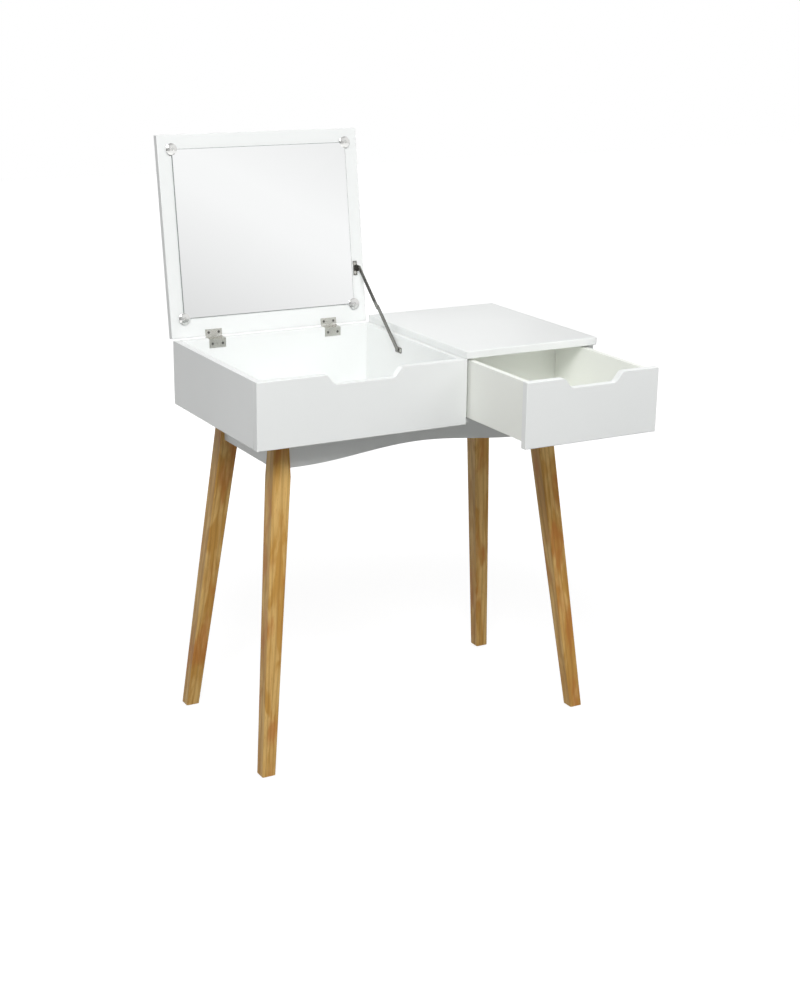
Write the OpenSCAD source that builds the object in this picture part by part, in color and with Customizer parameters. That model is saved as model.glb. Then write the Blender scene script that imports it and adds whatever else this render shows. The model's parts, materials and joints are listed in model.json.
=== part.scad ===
// Flip top vanity table: a cabinet on four splayed legs, with a mirrored flip lid
// over an open compartment on the left and a drawer under a fixed top on the right.
//
// Every piece is drawn in cabinet coordinates: x from the left side, y from the front
// face towards the back, z up from the floor. The lid's pieces are drawn shut and then
// swung open, and the drawer's pieces are drawn shut and then pulled out.

/* [Table] */
// Overall width of the cabinet, along x
table_w = 750; // [700:10:900]
// Overall depth of the cabinet, along y
table_d = 400; // [380:5:480]
// Height of the fixed top above the floor
table_h = 800; // [720:5:860]
// Height of the cabinet walls under the top
case_h = 130; // [125:1:160]
// Thickness of the walls, fronts and apron boards
board_t = 15; // [12:0.5:18]
// Thickness of the fixed top and the lid
top_t = 15; // [12:0.5:18]
// Thickness of the bottom board
floor_t = 9; // [6:0.5:9]
// Depth of the rabbet that holds the bottom board's edges
rabbet_d = 8; // [4:0.5:9]
// Small chamfer on the edges of the lacquered boards
edge = 1; // [0.4:0.1:1.5]
// Radius of the fixed top's outer front corner
top_corner = 8; // [3:0.5:14]

/* [Lid and mirror] */
// Width of the lid
lid_w = 439.5; // [400:0.5:470]
// Angle that the lid opens to, from shut
lid_open = 98; // [92:1:102]
// Gap between the shut lid and the walls under it
lid_gap = 0.3; // [0.2:0.1:1]
// Gap between the lid and the fixed top
lid_side_gap = 2; // [1:0.5:4]
// Bare border beside the mirror
mirror_side = 28.5; // [26:0.5:45]
// Bare border above the mirror, at the lid's free edge
mirror_free = 28.5; // [28:0.5:45]
// Bare border below the mirror, at the lid's hinge edge
mirror_foot = 38.5; // [34:0.5:60]
// Thickness of the mirror glass
glass_t = 3; // [2:0.5:5]
// Diameter of a mirror clip
clip_d = 23; // [18:0.5:24]
// Height of a mirror clip's dome over the glass
clip_h = 3.5; // [2.5:0.5:5]

/* [Finger notches] */
// Depth of the finger notches
notch_h = 20; // [14:1:26]
// Width of the lid's finger notch at its bottom
lid_notch_w = 126; // [80:1:150]
// Width of the drawer's finger notch at its bottom
drawer_notch_w = 100; // [80:1:120]
// How far each end of a notch slopes outwards
notch_slope = 16; // [10:1:24]
// Radius that eases a notch's corners
notch_r = 6; // [2:0.5:8]

/* [Drawer] */
// How far the drawer stands open
drawer_out = 205; // [0:5:220]
// Furthest that the drawer pulls out, where its shoe meets the rail's stop
drawer_travel = 225; // [220:1:240]
// Length of the drawer box, front to back, without its front
drawer_l = 302; // [290:1:310]
// Thickness of the drawer's sides and back
drawer_t = 12; // [9:0.5:15]
// Height of the drawer's sides
drawer_side_h = 114; // [100:1:115]
// Thickness of the drawer's bottom
drawer_floor_t = 3; // [3:0.5:6]
// Height of the drawer's bottom over its sides' lower edges
drawer_floor_up = 10; // [9:0.5:14]
// Gap between the drawer box and each wall of its bay
drawer_gap = 6; // [4:0.5:9]
// Gap over and beside the drawer's front
front_gap = 3; // [2:0.5:4]

/* [Legs and aprons] */
// Width of a leg at the floor
leg_foot = 28; // [24:0.5:34]
// Width of a leg at the level where its taper starts
leg_head = 38; // [34:0.5:44]
// Small chamfer along a leg's edges
leg_edge = 2; // [1:0.5:4]
// Length of the straight stretch at the top of a leg's inner faces
leg_straight = 75; // [70:1:90]
// Distance from the cabinet's faces to a leg's outer corner, at the top
leg_inset = 65; // [50:1:80]
// Distance from the cabinet's side to a foot's outer corner
foot_side = 1; // [0:0.5:20]
// How far a foot stands out past the cabinet's front and back
foot_out = 5; // [0:0.5:10]
// Height of the apron boards
apron_h = 60; // [56:1:70]
// How far the apron stands behind a leg's outer corner
apron_back = 2; // [1:0.5:3]
// Rise of the arch in the front apron
arch_h = 19; // [10:0.5:24]
// Straight stretch at each end of the arch, from the leg
arch_end = 26; // [20:1:50]
// Thickness of the glides under the feet
glide_t = 1.5; // [1:0.5:3]
// Diameter of the glides under the feet
glide_d = 19; // [15:0.5:22]

/* [Hinges] */
// Width of a hinge
hinge_w = 36; // [30:1:45]
// Distance from the lid's side edge to a hinge's middle
hinge_in = 90; // [60:1:110]
// Thickness of the hinge leaves and of the stay's plates
leaf_t = 1.2; // [1:0.1:1.4]
// Height of the fixed leaf on the back wall's inner face
leaf_drop = 17; // [16:0.5:24]
// Length of the lid's leaf, in from the lid's back edge
leaf_l = 13.5; // [12:0.5:16]
// Radius of the hinge pin
pin_r = 1.2; // [1:0.05:1.3]
// Radius of the hinge barrel
barrel_r = 2.3; // [2.2:0.1:2.4]
// Distance from the hinge pin back to the lid's rear edge
pin_back = 2.6; // [2.5:0.1:3]
// Distance between a hinge leaf's two screws
screw_gap = 22; // [16:0.5:26]

/* [Lid stay] */
// Distance from the lid's hinge edge to the stay's upper pivot
stay_up = 112; // [105:0.5:118]
// Distance from the lid's face to the stay's upper pivot
stay_off = 10; // [9:0.5:11]
// Distance from the cabinet's back to the stay's lower pivot
stay_back = 154; // [148:0.5:160]
// Distance from the cabinet walls' top edge down to the stay's lower pivot
stay_down = 29; // [24:0.5:32]
// Length of the lower link between its pivots
link_l = 112; // [108:0.5:116]
// Width of the stay's links
link_w = 10; // [8:0.5:11]
// Thickness of the stay's links
link_t = 1.5; // [1:0.1:1.6]

/* [Hidden] */
$fn = 48;
far = 1000;                    // length of a profile that is only there to be cut down
sliver = 0.01;                 // how far a cut runs past the face that it opens
touch = 0.3;                   // gap between pieces that move past each other
fit = 0.05;                    // radial clearance of a pin, screw or bolt in its hole

rim_z = table_h - top_t;                       // top edge of the cabinet walls
case_z = rim_z - case_h;                       // underside of the cabinet
floor_z = case_z + floor_t;                    // top of the bottom board
top_x = lid_w + lid_side_gap;                  // left edge of the fixed top
wall_lap = 3.5;                                // how much of the fixed top sits on the partition
wall_r = top_x + wall_lap;                     // right face of the partition
wall_l = wall_r - board_t;                     // left face of the partition
side_r = table_w - board_t;                    // inner face of the right side
back_y = table_d - board_t;                    // inner face of the back wall

// Small screws: length, radius of the shank, radius and height of a domed head
screw_l = 11;
screw_r = 1.5;
screw_head_r = 3;
screw_head_h = 1.1;

// Lid hinge: the pin's axis runs along x
lid_under = rim_z + lid_gap;                   // the shut lid's underside
lid_leaf_z = lid_under - leaf_t;               // the lid leaf's free face
leaf_gap = 0.2;                                // between the two leaves of a shut hinge
plate_z = lid_leaf_z - leaf_gap;               // top of the fixed leaf
pin_y = table_d + pin_back;
pin_z = lid_leaf_z - leaf_gap / 2;
hinge_xs = [hinge_in, lid_w - hinge_in];
knuckle_w = (hinge_w - 2 * touch) / 3;
knuckle_xs = [-hinge_w / 2, -knuckle_w / 2, knuckle_w / 2 + touch];
leaf_end = table_d - leaf_gap;                 // where the leaves' full width ends
leaf_front = table_d - leaf_l;                 // front edge of the lid's leaf
leaf_low = plate_z - leaf_t - leaf_drop;       // lower edge of the fixed leaf

// Mirror, drawn on the shut lid's underside, with a clip centred on each corner
mirror_x = [mirror_side, lid_w - mirror_side];
mirror_y = [mirror_free, table_d - mirror_foot];
glass_z = lid_under - glass_t;
boss_r = 4;                                    // the clip's boss, beside the glass
head_sink = 0.25;                              // how far a screw lies under the clip's crown
clip_screw_l = 14;

// Stay: the layers beside the partition, from right to left
boss_t = 0.9;                                  // spacing boss on the base plate
lower_link_x = wall_l - leaf_t - boss_t - touch - link_t;
upper_link_x = lower_link_x - touch - link_t;
ear_x = upper_link_x - touch - leaf_t;
rivet_r = 2;
rivet_head_r = 3.6;
rivet_head_t = 0.8;
rivet_gap = 0.1;
stay_base = [table_d - stay_back, rim_z - stay_down];
stay_top_shut = [table_d - stay_up, lid_under - stay_off];
stay_top = swing(stay_top_shut);
stay_rise = stay_top - stay_base;
stay_tilt = atan2(stay_rise[1], stay_rise[0]);
upper_l = norm(stay_rise) - link_l;
elbow = stay_base + link_l * [cos(stay_tilt), sin(stay_tilt)];
bracket_l = 30;                                // the lid's bracket along the lid
bracket_w = 11;                                // its ear at the pivot
bracket_ear = 15;                              // its ear at the lid
bracket_foot = 9;                              // the lid's bracket across the lid
base_l = 26;
base_w = 12;
base_screw_gap = 18;
bracket_screw_gap = 18;

// Drawer, drawn shut
front_x = [wall_r + front_gap, table_w - front_gap];
front_z = [case_z, rim_z - front_gap];
box_x = [wall_r + drawer_gap, side_r - drawer_gap];
pad_t = 2.7;                                   // glide pad under each drawer side
pad_r = 8;
pad_in = 10;                                   // from the front boards to a pad's middle
box_z = floor_z + pad_t + touch;               // lower edge of the drawer's sides
box_top = box_z + drawer_side_h;
box_back = board_t + drawer_l;                 // rear face of the drawer's back
groove_d = 5;
tray_z = box_z + drawer_floor_up;
mid_x = (wall_r + side_r) / 2;
rail_w = 20;
rail_h = 7;
rail_t = 1;
lip_w = 4;
rail_in = [5, 20];                             // how far the rail stays from front and back
rail_y = [board_t + rail_in[0], back_y - rail_in[1]];
rail_screw_in = 25;                            // from the rail's ends to its screws
stop_y = box_back - drawer_travel - touch;     // rear face of the rail's stop
stop_l = 4;
shoe_l = 10;                                   // the shoe's foot along the rail
shoe_w = 36;
shoe_h = 26;
shoe_t = 3;                                    // the shoe's plate on the drawer's back
shoe_screw_gap = 22;
shoe_screw_up = 9;                             // from the tray to the shoe's screws

// Legs, with vertical inner faces beside the aprons
knee_z = case_z - leg_straight;                // where the taper starts
leg_z = [glide_t, knee_z, case_z];
knee_share = (knee_z - glide_t) / (case_z - glide_t);
leg_out_x = [foot_side, foot_side + (leg_inset - foot_side) * knee_share, leg_inset];
leg_out_y = [-foot_out, -foot_out + (leg_inset + foot_out) * knee_share, leg_inset];
leg_in_x = leg_out_x[1] + leg_head;            // its vertical inner faces
leg_in_y = leg_out_y[1] + leg_head;
leg_flat = 12;                                 // flat on a leg's inner corner
leg_flat_up = 8;                               // from the knee up to that flat

// Aprons, corner plates and hanger bolts
apron_x = leg_inset + apron_back;              // outer faces of the aprons
apron_z = case_z - apron_h;
apron_in = apron_x + board_t;                  // inner faces of the aprons
steel_t = 2;
plate_a = 52;                                  // where a corner plate leaves each apron
flange_l = 20;
plate_h = 40;
bolt_z = case_z - apron_h / 2;
bolt_r = 4;
bolt_seat = plate_a / sqrt(2) + steel_t;       // the plate's face, from the aprons' corner
bolt_in_leg = 14;
bolt_past_plate = 8;
bolt_ends = [-bolt_in_leg, bolt_seat + bolt_past_plate];
nut_r = 7.5;
nut_h = 6.5;
plate_screw_gap = 20;

// Angle brackets that hold the aprons up against the bottom board
bracket_gap = 240;                             // between the two on a long apron
angle_w = 30;
angle_leg = 20;
bracket_screw_l = 8;

// Dowels in the cabinet's and the drawer's joints
dowel_r = 4;
dowel_l = 30;
dowel_deep = 10;                               // how deep one sits in the outer board
dowel_end = 35;                                // from a board's end to its dowels
dowel_zs = [case_z + dowel_end, rim_z - dowel_end];
top_dowel_gap = 120;                           // between the two at the fixed top's rear
drawer_dowel_r = 3;
drawer_dowel_l = 25;
drawer_dowel_deep = 7;
drawer_dowel_end = 28;
drawer_dowel_zs = [box_z + drawer_dowel_end, box_top - drawer_dowel_end];
dowel_slack = 0.5;                             // how much longer a dowel's hole is, at each end

// The model's own frame: the middle of the open table's footprint, on the floor
lid_back_y = swing([edge, lid_under + top_t])[0];
y_mid = (lid_back_y - drawer_out) / 2;

// Where a point [y, z] of the shut lid is, once the lid stands open
function swing(p) = let (r = p - [pin_y, pin_z])
    [pin_y + r[0] * cos(lid_open) + r[1] * sin(lid_open),
     pin_z - r[0] * sin(lid_open) + r[1] * cos(lid_open)];

// ---------------------------------------------------------------- placing and colours

module in_frame() translate([-table_w / 2, -y_mid, 0]) children();

module lid_opened() in_frame()
    translate([0, pin_y, pin_z]) rotate([-lid_open, 0, 0]) translate([0, -pin_y, -pin_z])
        children();

module drawer_opened() in_frame() translate([0, -drawer_out, 0]) children();

module lacquer() color([0.93, 0.94, 0.94]) children();
module wood() color([0.78, 0.62, 0.38]) children();
module steel() color([0.62, 0.63, 0.65]) children();
module nickel() color([0.74, 0.73, 0.7]) children();
module chrome() color([0.82, 0.84, 0.86]) children();
module nylon() color([0.9, 0.9, 0.87]) children();

// ---------------------------------------------------------------- shapes

// A box between two corners
module span(low, high) translate(low) cube(high - low);

// A profile drawn in x and z, extruded along y
module along_y(y0, y1) translate([0, y1, 0]) rotate([90, 0, 0]) linear_extrude(y1 - y0)
    children();

// A profile drawn in y and z, extruded along x
module along_x(x0, x1) translate([x0, 0, 0]) rotate([90, 0, 90]) linear_extrude(x1 - x0)
    children();

// A rod along x, through the point p of the y-z plane
module rod_x(x0, x1, p, r) translate([x0, p[0], p[1]]) rotate([0, 90, 0])
    cylinder(h = x1 - x0, r = r);

// A rectangle with chamfered corners
module eased_square(low, high, e = edge) polygon([
    [low[0] + e, low[1]], [high[0] - e, low[1]], [high[0], low[1] + e],
    [high[0], high[1] - e], [high[0] - e, high[1]], [low[0] + e, high[1]],
    [low[0], high[1] - e], [low[0], low[1] + e]]);

// A board between two corners, with every edge chamfered
module board(low, high) intersection() {
    translate([0, 0, low[2]]) linear_extrude(high[2] - low[2])
        eased_square([low[0], low[1]], [high[0], high[1]]);
    along_y(low[1], high[1]) eased_square([low[0], low[2]], [high[0], high[2]]);
    along_x(low[0], high[0]) eased_square([low[1], low[2]], [high[1], high[2]]);
}

// Points that round the corner b between its neighbours a and c
function eased(a, b, c, r, n = 5) = let (
    p = b + (a - b) / norm(a - b) * r,
    q = b + (c - b) / norm(c - b) * r)
    [for (i = [0:n]) let (t = i / n) pow(1 - t, 2) * p + 2 * t * (1 - t) * b + t * t * q];

// A front board over the floor's edge, with a finger notch in its top edge
module notched_front(x, z, notch_w) {
    mid = (x[0] + x[1]) / 2;
    top_l = [x[0], z[1]];
    top_r = [x[1], z[1]];
    a = [mid - notch_w / 2 - notch_slope, z[1]];
    b = [mid - notch_w / 2, z[1] - notch_h];
    c = [mid + notch_w / 2, z[1] - notch_h];
    d = [mid + notch_w / 2 + notch_slope, z[1]];
    intersection() {
        along_y(0, board_t) polygon(concat([[x[0], z[0]], top_l],
            eased(top_l, a, b, notch_r), eased(a, b, c, notch_r),
            eased(b, c, d, notch_r), eased(c, d, top_r, notch_r), [top_r, [x[1], z[0]]]));
        along_x(x[0], x[1]) eased_square([0, z[0]], [board_t, z[1]]);
        translate([0, 0, z[0]]) linear_extrude(z[1] - z[0])
            eased_square([x[0], 0], [x[1], board_t]);
    }
}

// ---------------------------------------------------------------- screws

// A low dome over the plane z = 0, on its negative side
module dome(r, h) {
    ball_r = (r * r + h * h) / (2 * h);
    rotate_extrude() intersection() {
        translate([0, ball_r - h]) circle(r = ball_r, $fn = 128);
        translate([0, -h]) square([r, h]);
    }
}

// A wood screw along z with a domed head, seated at z = 0
module domed_screw(l = screw_l) {
    rotate_extrude() polygon([[0, 0], [screw_r, 0], [screw_r, l - screw_r], [0, l]]);
    dome(screw_head_r, screw_head_h);
}

// The hole for its shank
module screw_hole(l = screw_l) translate([0, 0, -sliver])
    cylinder(h = l + 2 * sliver, r = screw_r + fit);

// A countersunk wood screw along z, its head flush with z = 0
module flat_screw(l = screw_l) rotate_extrude()
    polygon([[0, 0], [screw_head_r, 0], [screw_r, leaf_t], [screw_r, l - screw_r], [0, l]]);

// The hole for its head and shank
module flat_hole(l = screw_l) rotate_extrude() polygon([[0, -1], [screw_head_r + fit, -1],
    [screw_head_r + fit, 0], [screw_r + fit, leaf_t], [screw_r + fit, l + sliver],
    [0, l + sliver]]);

// Where the screws go, each with z along its shank
module at_cabinet_hinge_screws() for (x = hinge_xs, side = [-1, 1])
    translate([x + side * screw_gap / 2, back_y - leaf_t, leaf_low + leaf_drop / 2])
        rotate([-90, 0, 0]) children();

module at_lid_hinge_screws() for (x = hinge_xs, side = [-1, 1])
    translate([x + side * screw_gap / 2, (leaf_front + leaf_end) / 2, lid_leaf_z]) children();

module at_stay_base_screws() for (side = [-1, 1])
    translate([wall_l - leaf_t, stay_base[0] + side * base_screw_gap / 2, stay_base[1]])
        rotate([0, 90, 0]) children();

module at_stay_bracket_screws() for (side = [-1, 1])
    translate([ear_x + leaf_t - bracket_foot / 2 - leaf_t / 2,
        stay_top_shut[0] + side * bracket_screw_gap / 2, lid_leaf_z]) children();

module at_mirror_corners() for (x = mirror_x, y = mirror_y) translate([x, y, 0]) children();

module at_clip_screws() at_mirror_corners()
    translate([0, 0, glass_z - clip_h + head_sink]) children();

module at_rail_screws() for (y = [rail_y[0] + rail_screw_in, rail_y[1] - rail_screw_in])
    translate([mid_x, y, floor_z + rail_t]) rotate([180, 0, 0]) children();

module at_shoe_screws() for (side = [-1, 1])
    translate([mid_x + side * shoe_screw_gap / 2, box_back + shoe_t,
        tray_z + drawer_floor_t + shoe_screw_up]) rotate([90, 0, 0]) children();

// Screws of the aprons' angle brackets, into the aprons and up into the bottom board
module at_brackets() {
    for (x = [table_w - bracket_gap, table_w + bracket_gap] / 2) {
        translate([x, apron_in, case_z]) children();
        translate([x, table_d - apron_in, case_z]) rotate([0, 0, 180]) children();
    }
    translate([apron_in, table_d / 2, case_z]) rotate([0, 0, -90]) children();
    translate([table_w - apron_in, table_d / 2, case_z]) rotate([0, 0, 90]) children();
}

module at_bracket_screws() at_brackets() translate([0, steel_t, -angle_leg / 2 - steel_t / 2])
    rotate([90, 0, 0]) children();

module at_bracket_screws_up() at_brackets()
    translate([0, angle_leg / 2 + steel_t / 2, -steel_t]) children();

// ---------------------------------------------------------------- dowels

// A dowel along z, from deep inside the outer board, whose joint face is at z = 0
module dowel(r, l, deep, slack = 0) translate([0, 0, -deep - slack])
    cylinder(h = l + 2 * slack, r = r + (slack > 0 ? fit : 0));

// The cabinet's joints, with z pointing from the outer board into the other one
module at_case_dowels() {
    for (z = dowel_zs) {
        for (x = [board_t / 2, (wall_l + wall_r) / 2])
            translate([x, board_t, z]) rotate([-90, 0, 0]) children();
        translate([(wall_l + wall_r) / 2, back_y, z]) rotate([90, 0, 0]) children();
        translate([board_t, back_y + board_t / 2, z]) rotate([0, 90, 0]) children();
        translate([side_r, back_y + board_t / 2, z]) rotate([0, -90, 0]) children();
    }
    for (y = [table_d / 4, table_d * 3 / 4])
        translate([side_r + board_t / 2, y, rim_z]) rotate([180, 0, 0]) children();
    for (side = [-1, 1])
        translate([mid_x + side * top_dowel_gap / 2, back_y + board_t / 2, rim_z]) rotate([180, 0, 0]) children();
}

module at_drawer_dowels() for (z = drawer_dowel_zs) {
    for (x = [box_x[0] + drawer_t / 2, box_x[1] - drawer_t / 2])
        translate([x, board_t, z]) rotate([-90, 0, 0]) children();
    translate([box_x[0] + drawer_t, box_back - drawer_t / 2, z])
        rotate([0, 90, 0]) children();
    translate([box_x[1] - drawer_t, box_back - drawer_t / 2, z])
        rotate([0, -90, 0]) children();
}

module case_dowel_holes() at_case_dowels() dowel(dowel_r, dowel_l, dowel_deep, dowel_slack);

module drawer_dowel_holes() at_drawer_dowels()
    dowel(drawer_dowel_r, drawer_dowel_l, drawer_dowel_deep, dowel_slack);

module case_dowels() wood() in_frame() at_case_dowels() dowel(dowel_r, dowel_l, dowel_deep);

module drawer_dowels() wood() drawer_opened() at_drawer_dowels()
    dowel(drawer_dowel_r, drawer_dowel_l, drawer_dowel_deep);

// ---------------------------------------------------------------- cabinet

// The rabbet around the cabinet's lower edge that the bottom board lies in
module floor_rabbet() span([board_t - rabbet_d, -far, case_z - sliver],
    [side_r + rabbet_d, back_y + rabbet_d, floor_z]);

module left_side_panel() lacquer() in_frame() difference() {
    board([0, board_t, case_z], [board_t, table_d, rim_z]);
    floor_rabbet();
    case_dowel_holes();
}

module right_side_panel() lacquer() in_frame() difference() {
    board([side_r, board_t, case_z], [table_w, table_d, rim_z]);
    floor_rabbet();
    case_dowel_holes();
}

module partition() lacquer() in_frame() difference() {
    span([wall_l, board_t, floor_z], [wall_r, back_y, rim_z]);
    at_stay_base_screws() flat_hole();
    case_dowel_holes();
}

module back_panel() lacquer() in_frame() difference() {
    span([board_t, back_y, case_z], [side_r, table_d, rim_z]);
    floor_rabbet();
    for (x = hinge_xs)
        span([x - hinge_w / 2 - touch, back_y - sliver, plate_z - leaf_t],
            [x + hinge_w / 2 + touch, table_d + sliver, rim_z + sliver]);
    at_cabinet_hinge_screws() flat_hole();
    case_dowel_holes();
}

module compartment_front() lacquer() in_frame() difference() {
    notched_front([0, wall_r], [case_z, rim_z], lid_notch_w);
    case_dowel_holes();
}

module bottom_board() lacquer() in_frame() difference() {
    span([board_t - rabbet_d, board_t, case_z],
        [side_r + rabbet_d, back_y + rabbet_d, floor_z]);
    at_rail_screws() flat_hole(floor_t);
    at_bracket_screws_up() screw_hole(bracket_screw_l);
}

// What is cut from the fixed top's outer front corner to round it
module top_corner_waste() difference() {
    span([table_w - top_corner, -sliver, rim_z - sliver],
        [table_w + sliver, top_corner, table_h + sliver]);
    translate([table_w - top_corner, top_corner, rim_z]) rotate_extrude()
        polygon([[0, -1], [top_corner - edge - 1, -1], [top_corner, edge],
            [top_corner, top_t - edge], [top_corner - edge - 1, top_t + 1], [0, top_t + 1]]);
}

module fixed_top() lacquer() in_frame() difference() {
    board([top_x, 0, rim_z], [table_w, table_d, table_h]);
    top_corner_waste();
    case_dowel_holes();
}

// ---------------------------------------------------------------- aprons

// The front apron's face: a straight board with a long shallow arch cut from it
module arched(x0, x1) {
    mid = (x0 + x1) / 2;
    half = (x1 - x0) / 2 - arch_end;
    steps = 40;
    polygon(concat([[x1, apron_z], [x1, case_z], [x0, case_z], [x0, apron_z]],
        [for (i = [0:steps]) let (t = 2 * i / steps - 1)
            [mid + half * t, apron_z + arch_h * (1 + cos(180 * t)) / 2]]));
}

module front_apron() lacquer() in_frame() difference() {
    along_y(apron_x, apron_in) arched(leg_in_x, table_w - leg_in_x);
    at_plate_screws_y() screw_hole();
    at_bracket_screws() screw_hole();
}

module rear_apron() lacquer() in_frame() difference() {
    span([leg_in_x, table_d - apron_in, apron_z],
        [table_w - leg_in_x, table_d - apron_x, case_z]);
    at_plate_screws_y() screw_hole();
    at_bracket_screws() screw_hole();
}

module left_apron() lacquer() in_frame() difference() {
    span([apron_x, leg_in_y, apron_z], [apron_in, table_d - leg_in_y, case_z]);
    at_plate_screws_x() screw_hole();
    at_bracket_screws() screw_hole();
}

module right_apron() lacquer() in_frame() difference() {
    span([table_w - apron_in, leg_in_y, apron_z],
        [table_w - apron_x, table_d - leg_in_y, case_z]);
    at_plate_screws_x() screw_hole();
    at_bracket_screws() screw_hole();
}

// ---------------------------------------------------------------- legs and corners

// Takes what is drawn at the front left corner to another corner
module at_corner(right, rear) translate([right * table_w, rear * table_d, 0])
    mirror([right, 0, 0]) mirror([0, rear, 0]) children();

module at_corners() for (right = [0, 1], rear = [0, 1]) at_corner(right, rear) children();

// A rod along the corner's diagonal, measured from the aprons' inner corner
module diagonal_rod(s, r, sides = 48) translate([apron_in, apron_in, bolt_z])
    rotate([0, 90, 45]) translate([0, 0, s[0]]) cylinder(h = s[1] - s[0], r = r, $fn = sides);

// A leg's outline from one side, between its low and high edge at each height of leg_z
module leg_outline(low, high) polygon(concat(
    [for (i = [0:2]) [low[i], leg_z[i]]], [for (i = [2:-1:0]) [high[i], leg_z[i]]]));

// A splayed, square, tapered leg. Its faces come from the outlines seen along y and x,
// and its chamfers from those seen along the two diagonals
module leg() difference() {
    in_x = [foot_side + leg_foot, leg_in_x, leg_in_x];
    in_y = [leg_foot - foot_out, leg_in_y, leg_in_y];
    cut = [1, 1, 1] * leg_edge;
    intersection() {
        along_y(-far, far) leg_outline(leg_out_x, in_x);
        along_x(-far, far) leg_outline(leg_out_y, in_y);
        rotate([0, 0, 45]) along_y(-far, far) leg_outline(
            (leg_out_x + leg_out_y + cut) / sqrt(2), (in_x + in_y - cut) / sqrt(2));
        rotate([0, 0, 45]) along_x(-far, far) leg_outline(
            (leg_out_y - in_x + cut) / sqrt(2), (in_y - leg_out_x - cut) / sqrt(2));
    }
    translate([leg_in_x, leg_in_y, knee_z + leg_flat_up]) rotate([0, 0, 45])
        span([-leg_flat / sqrt(2), -far, 0], [far, far, far]);
    diagonal_rod([bolt_ends[0], far], bolt_r + fit);
}

module leg_front_left() wood() in_frame() leg();
module leg_front_right() wood() in_frame() at_corner(1, 0) leg();
module leg_rear_left() wood() in_frame() at_corner(0, 1) leg();
module leg_rear_right() wood() in_frame() at_corner(1, 1) leg();

module foot_glides() nylon() in_frame() at_corners()
    translate([foot_side + leg_foot / 2, leg_foot / 2 - foot_out, 0])
        cylinder(h = glide_t, d = glide_d);

// Screws through a corner plate's flanges, into the front and rear aprons
module at_plate_screws_y() at_corners() for (side = [-1, 1])
    translate([apron_in + plate_a + flange_l / 2, apron_in + steel_t,
        bolt_z + side * plate_screw_gap / 2]) rotate([90, 0, 0]) children();

// The same, into the left and right aprons
module at_plate_screws_x() at_corners() for (side = [-1, 1])
    translate([apron_in + steel_t, apron_in + plate_a + flange_l / 2,
        bolt_z + side * plate_screw_gap / 2]) rotate([0, -90, 0]) children();

// A steel strip across the corner, with a flange on each apron
module corner_plates() steel() in_frame() {
    c = apron_in;
    bend = c + plate_a;
    inner = bend + steel_t * (sqrt(2) - 1);
    tip = bend + flange_l;
    difference() {
        at_corners() translate([0, 0, bolt_z - plate_h / 2]) linear_extrude(plate_h)
            polygon([[tip, c], [bend, c], [c, bend], [c, tip], [c + steel_t, tip],
                [c + steel_t, inner], [inner, c + steel_t], [tip, c + steel_t]]);
        at_corners() diagonal_rod(bolt_ends, bolt_r + fit);
        at_plate_screws_y() screw_hole();
        at_plate_screws_x() screw_hole();
    }
}

module corner_plate_screws() steel() in_frame() {
    at_plate_screws_y() domed_screw();
    at_plate_screws_x() domed_screw();
}

module hanger_bolts() steel() in_frame() at_corners() diagonal_rod(bolt_ends, bolt_r);

module bolt_nuts() steel() in_frame() at_corners() difference() {
    diagonal_rod([bolt_seat, bolt_seat + nut_h], nut_r, 6);
    diagonal_rod(bolt_ends, bolt_r + fit);
}

// A steel angle in the corner of an apron and the bottom board
module apron_brackets() steel() in_frame() difference() {
    at_brackets() union() {
        span([-angle_w / 2, 0, -angle_leg], [angle_w / 2, steel_t, 0]);
        span([-angle_w / 2, 0, -steel_t], [angle_w / 2, angle_leg, 0]);
    }
    at_bracket_screws() screw_hole();
    at_bracket_screws_up() screw_hole(bracket_screw_l);
}

module apron_bracket_screws() steel() in_frame() {
    at_bracket_screws() domed_screw();
    at_bracket_screws_up() domed_screw(bracket_screw_l);
}

// ---------------------------------------------------------------- drawer's guides

// A channel on the floor, its lips turned in over the shoe's foot
module drawer_rail() steel() in_frame() difference() {
    union() {
        along_y(rail_y[0], rail_y[1]) translate([mid_x - rail_w / 2, floor_z]) difference() {
            square([rail_w, rail_h]);
            translate([rail_t, rail_t]) square([rail_w - 2 * rail_t, rail_h - 2 * rail_t]);
            translate([lip_w, rail_t]) square([rail_w - 2 * lip_w, rail_h]);
        }
        span([mid_x - rail_w / 2 + rail_t, stop_y - stop_l, floor_z + rail_t],
            [mid_x + rail_w / 2 - rail_t, stop_y, floor_z + rail_h - rail_t]);
    }
    at_rail_screws() flat_hole(floor_t);
}

module drawer_rail_screws() steel() in_frame() at_rail_screws() flat_screw(floor_t);

module drawer_glide_pads() nylon() in_frame()
    for (x = [box_x[0] + drawer_t / 2, box_x[1] - drawer_t / 2])
        translate([x, board_t + pad_in, floor_z]) cylinder(h = pad_t, r = pad_r);

// ---------------------------------------------------------------- hinges

// One knuckle with its tail from the leaf, whose faces are at z0 and z1
module knuckle(x0, z0, z1) {
    rod_x(x0, x0 + knuckle_w, [pin_y, pin_z], barrel_r);
    span([x0, leaf_end - sliver, z0], [x0 + knuckle_w, pin_y, z1]);
}

module pin_bore() rod_x(-hinge_w / 2 - sliver, hinge_w / 2 + sliver, [pin_y, pin_z],
    pin_r + fit);

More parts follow.
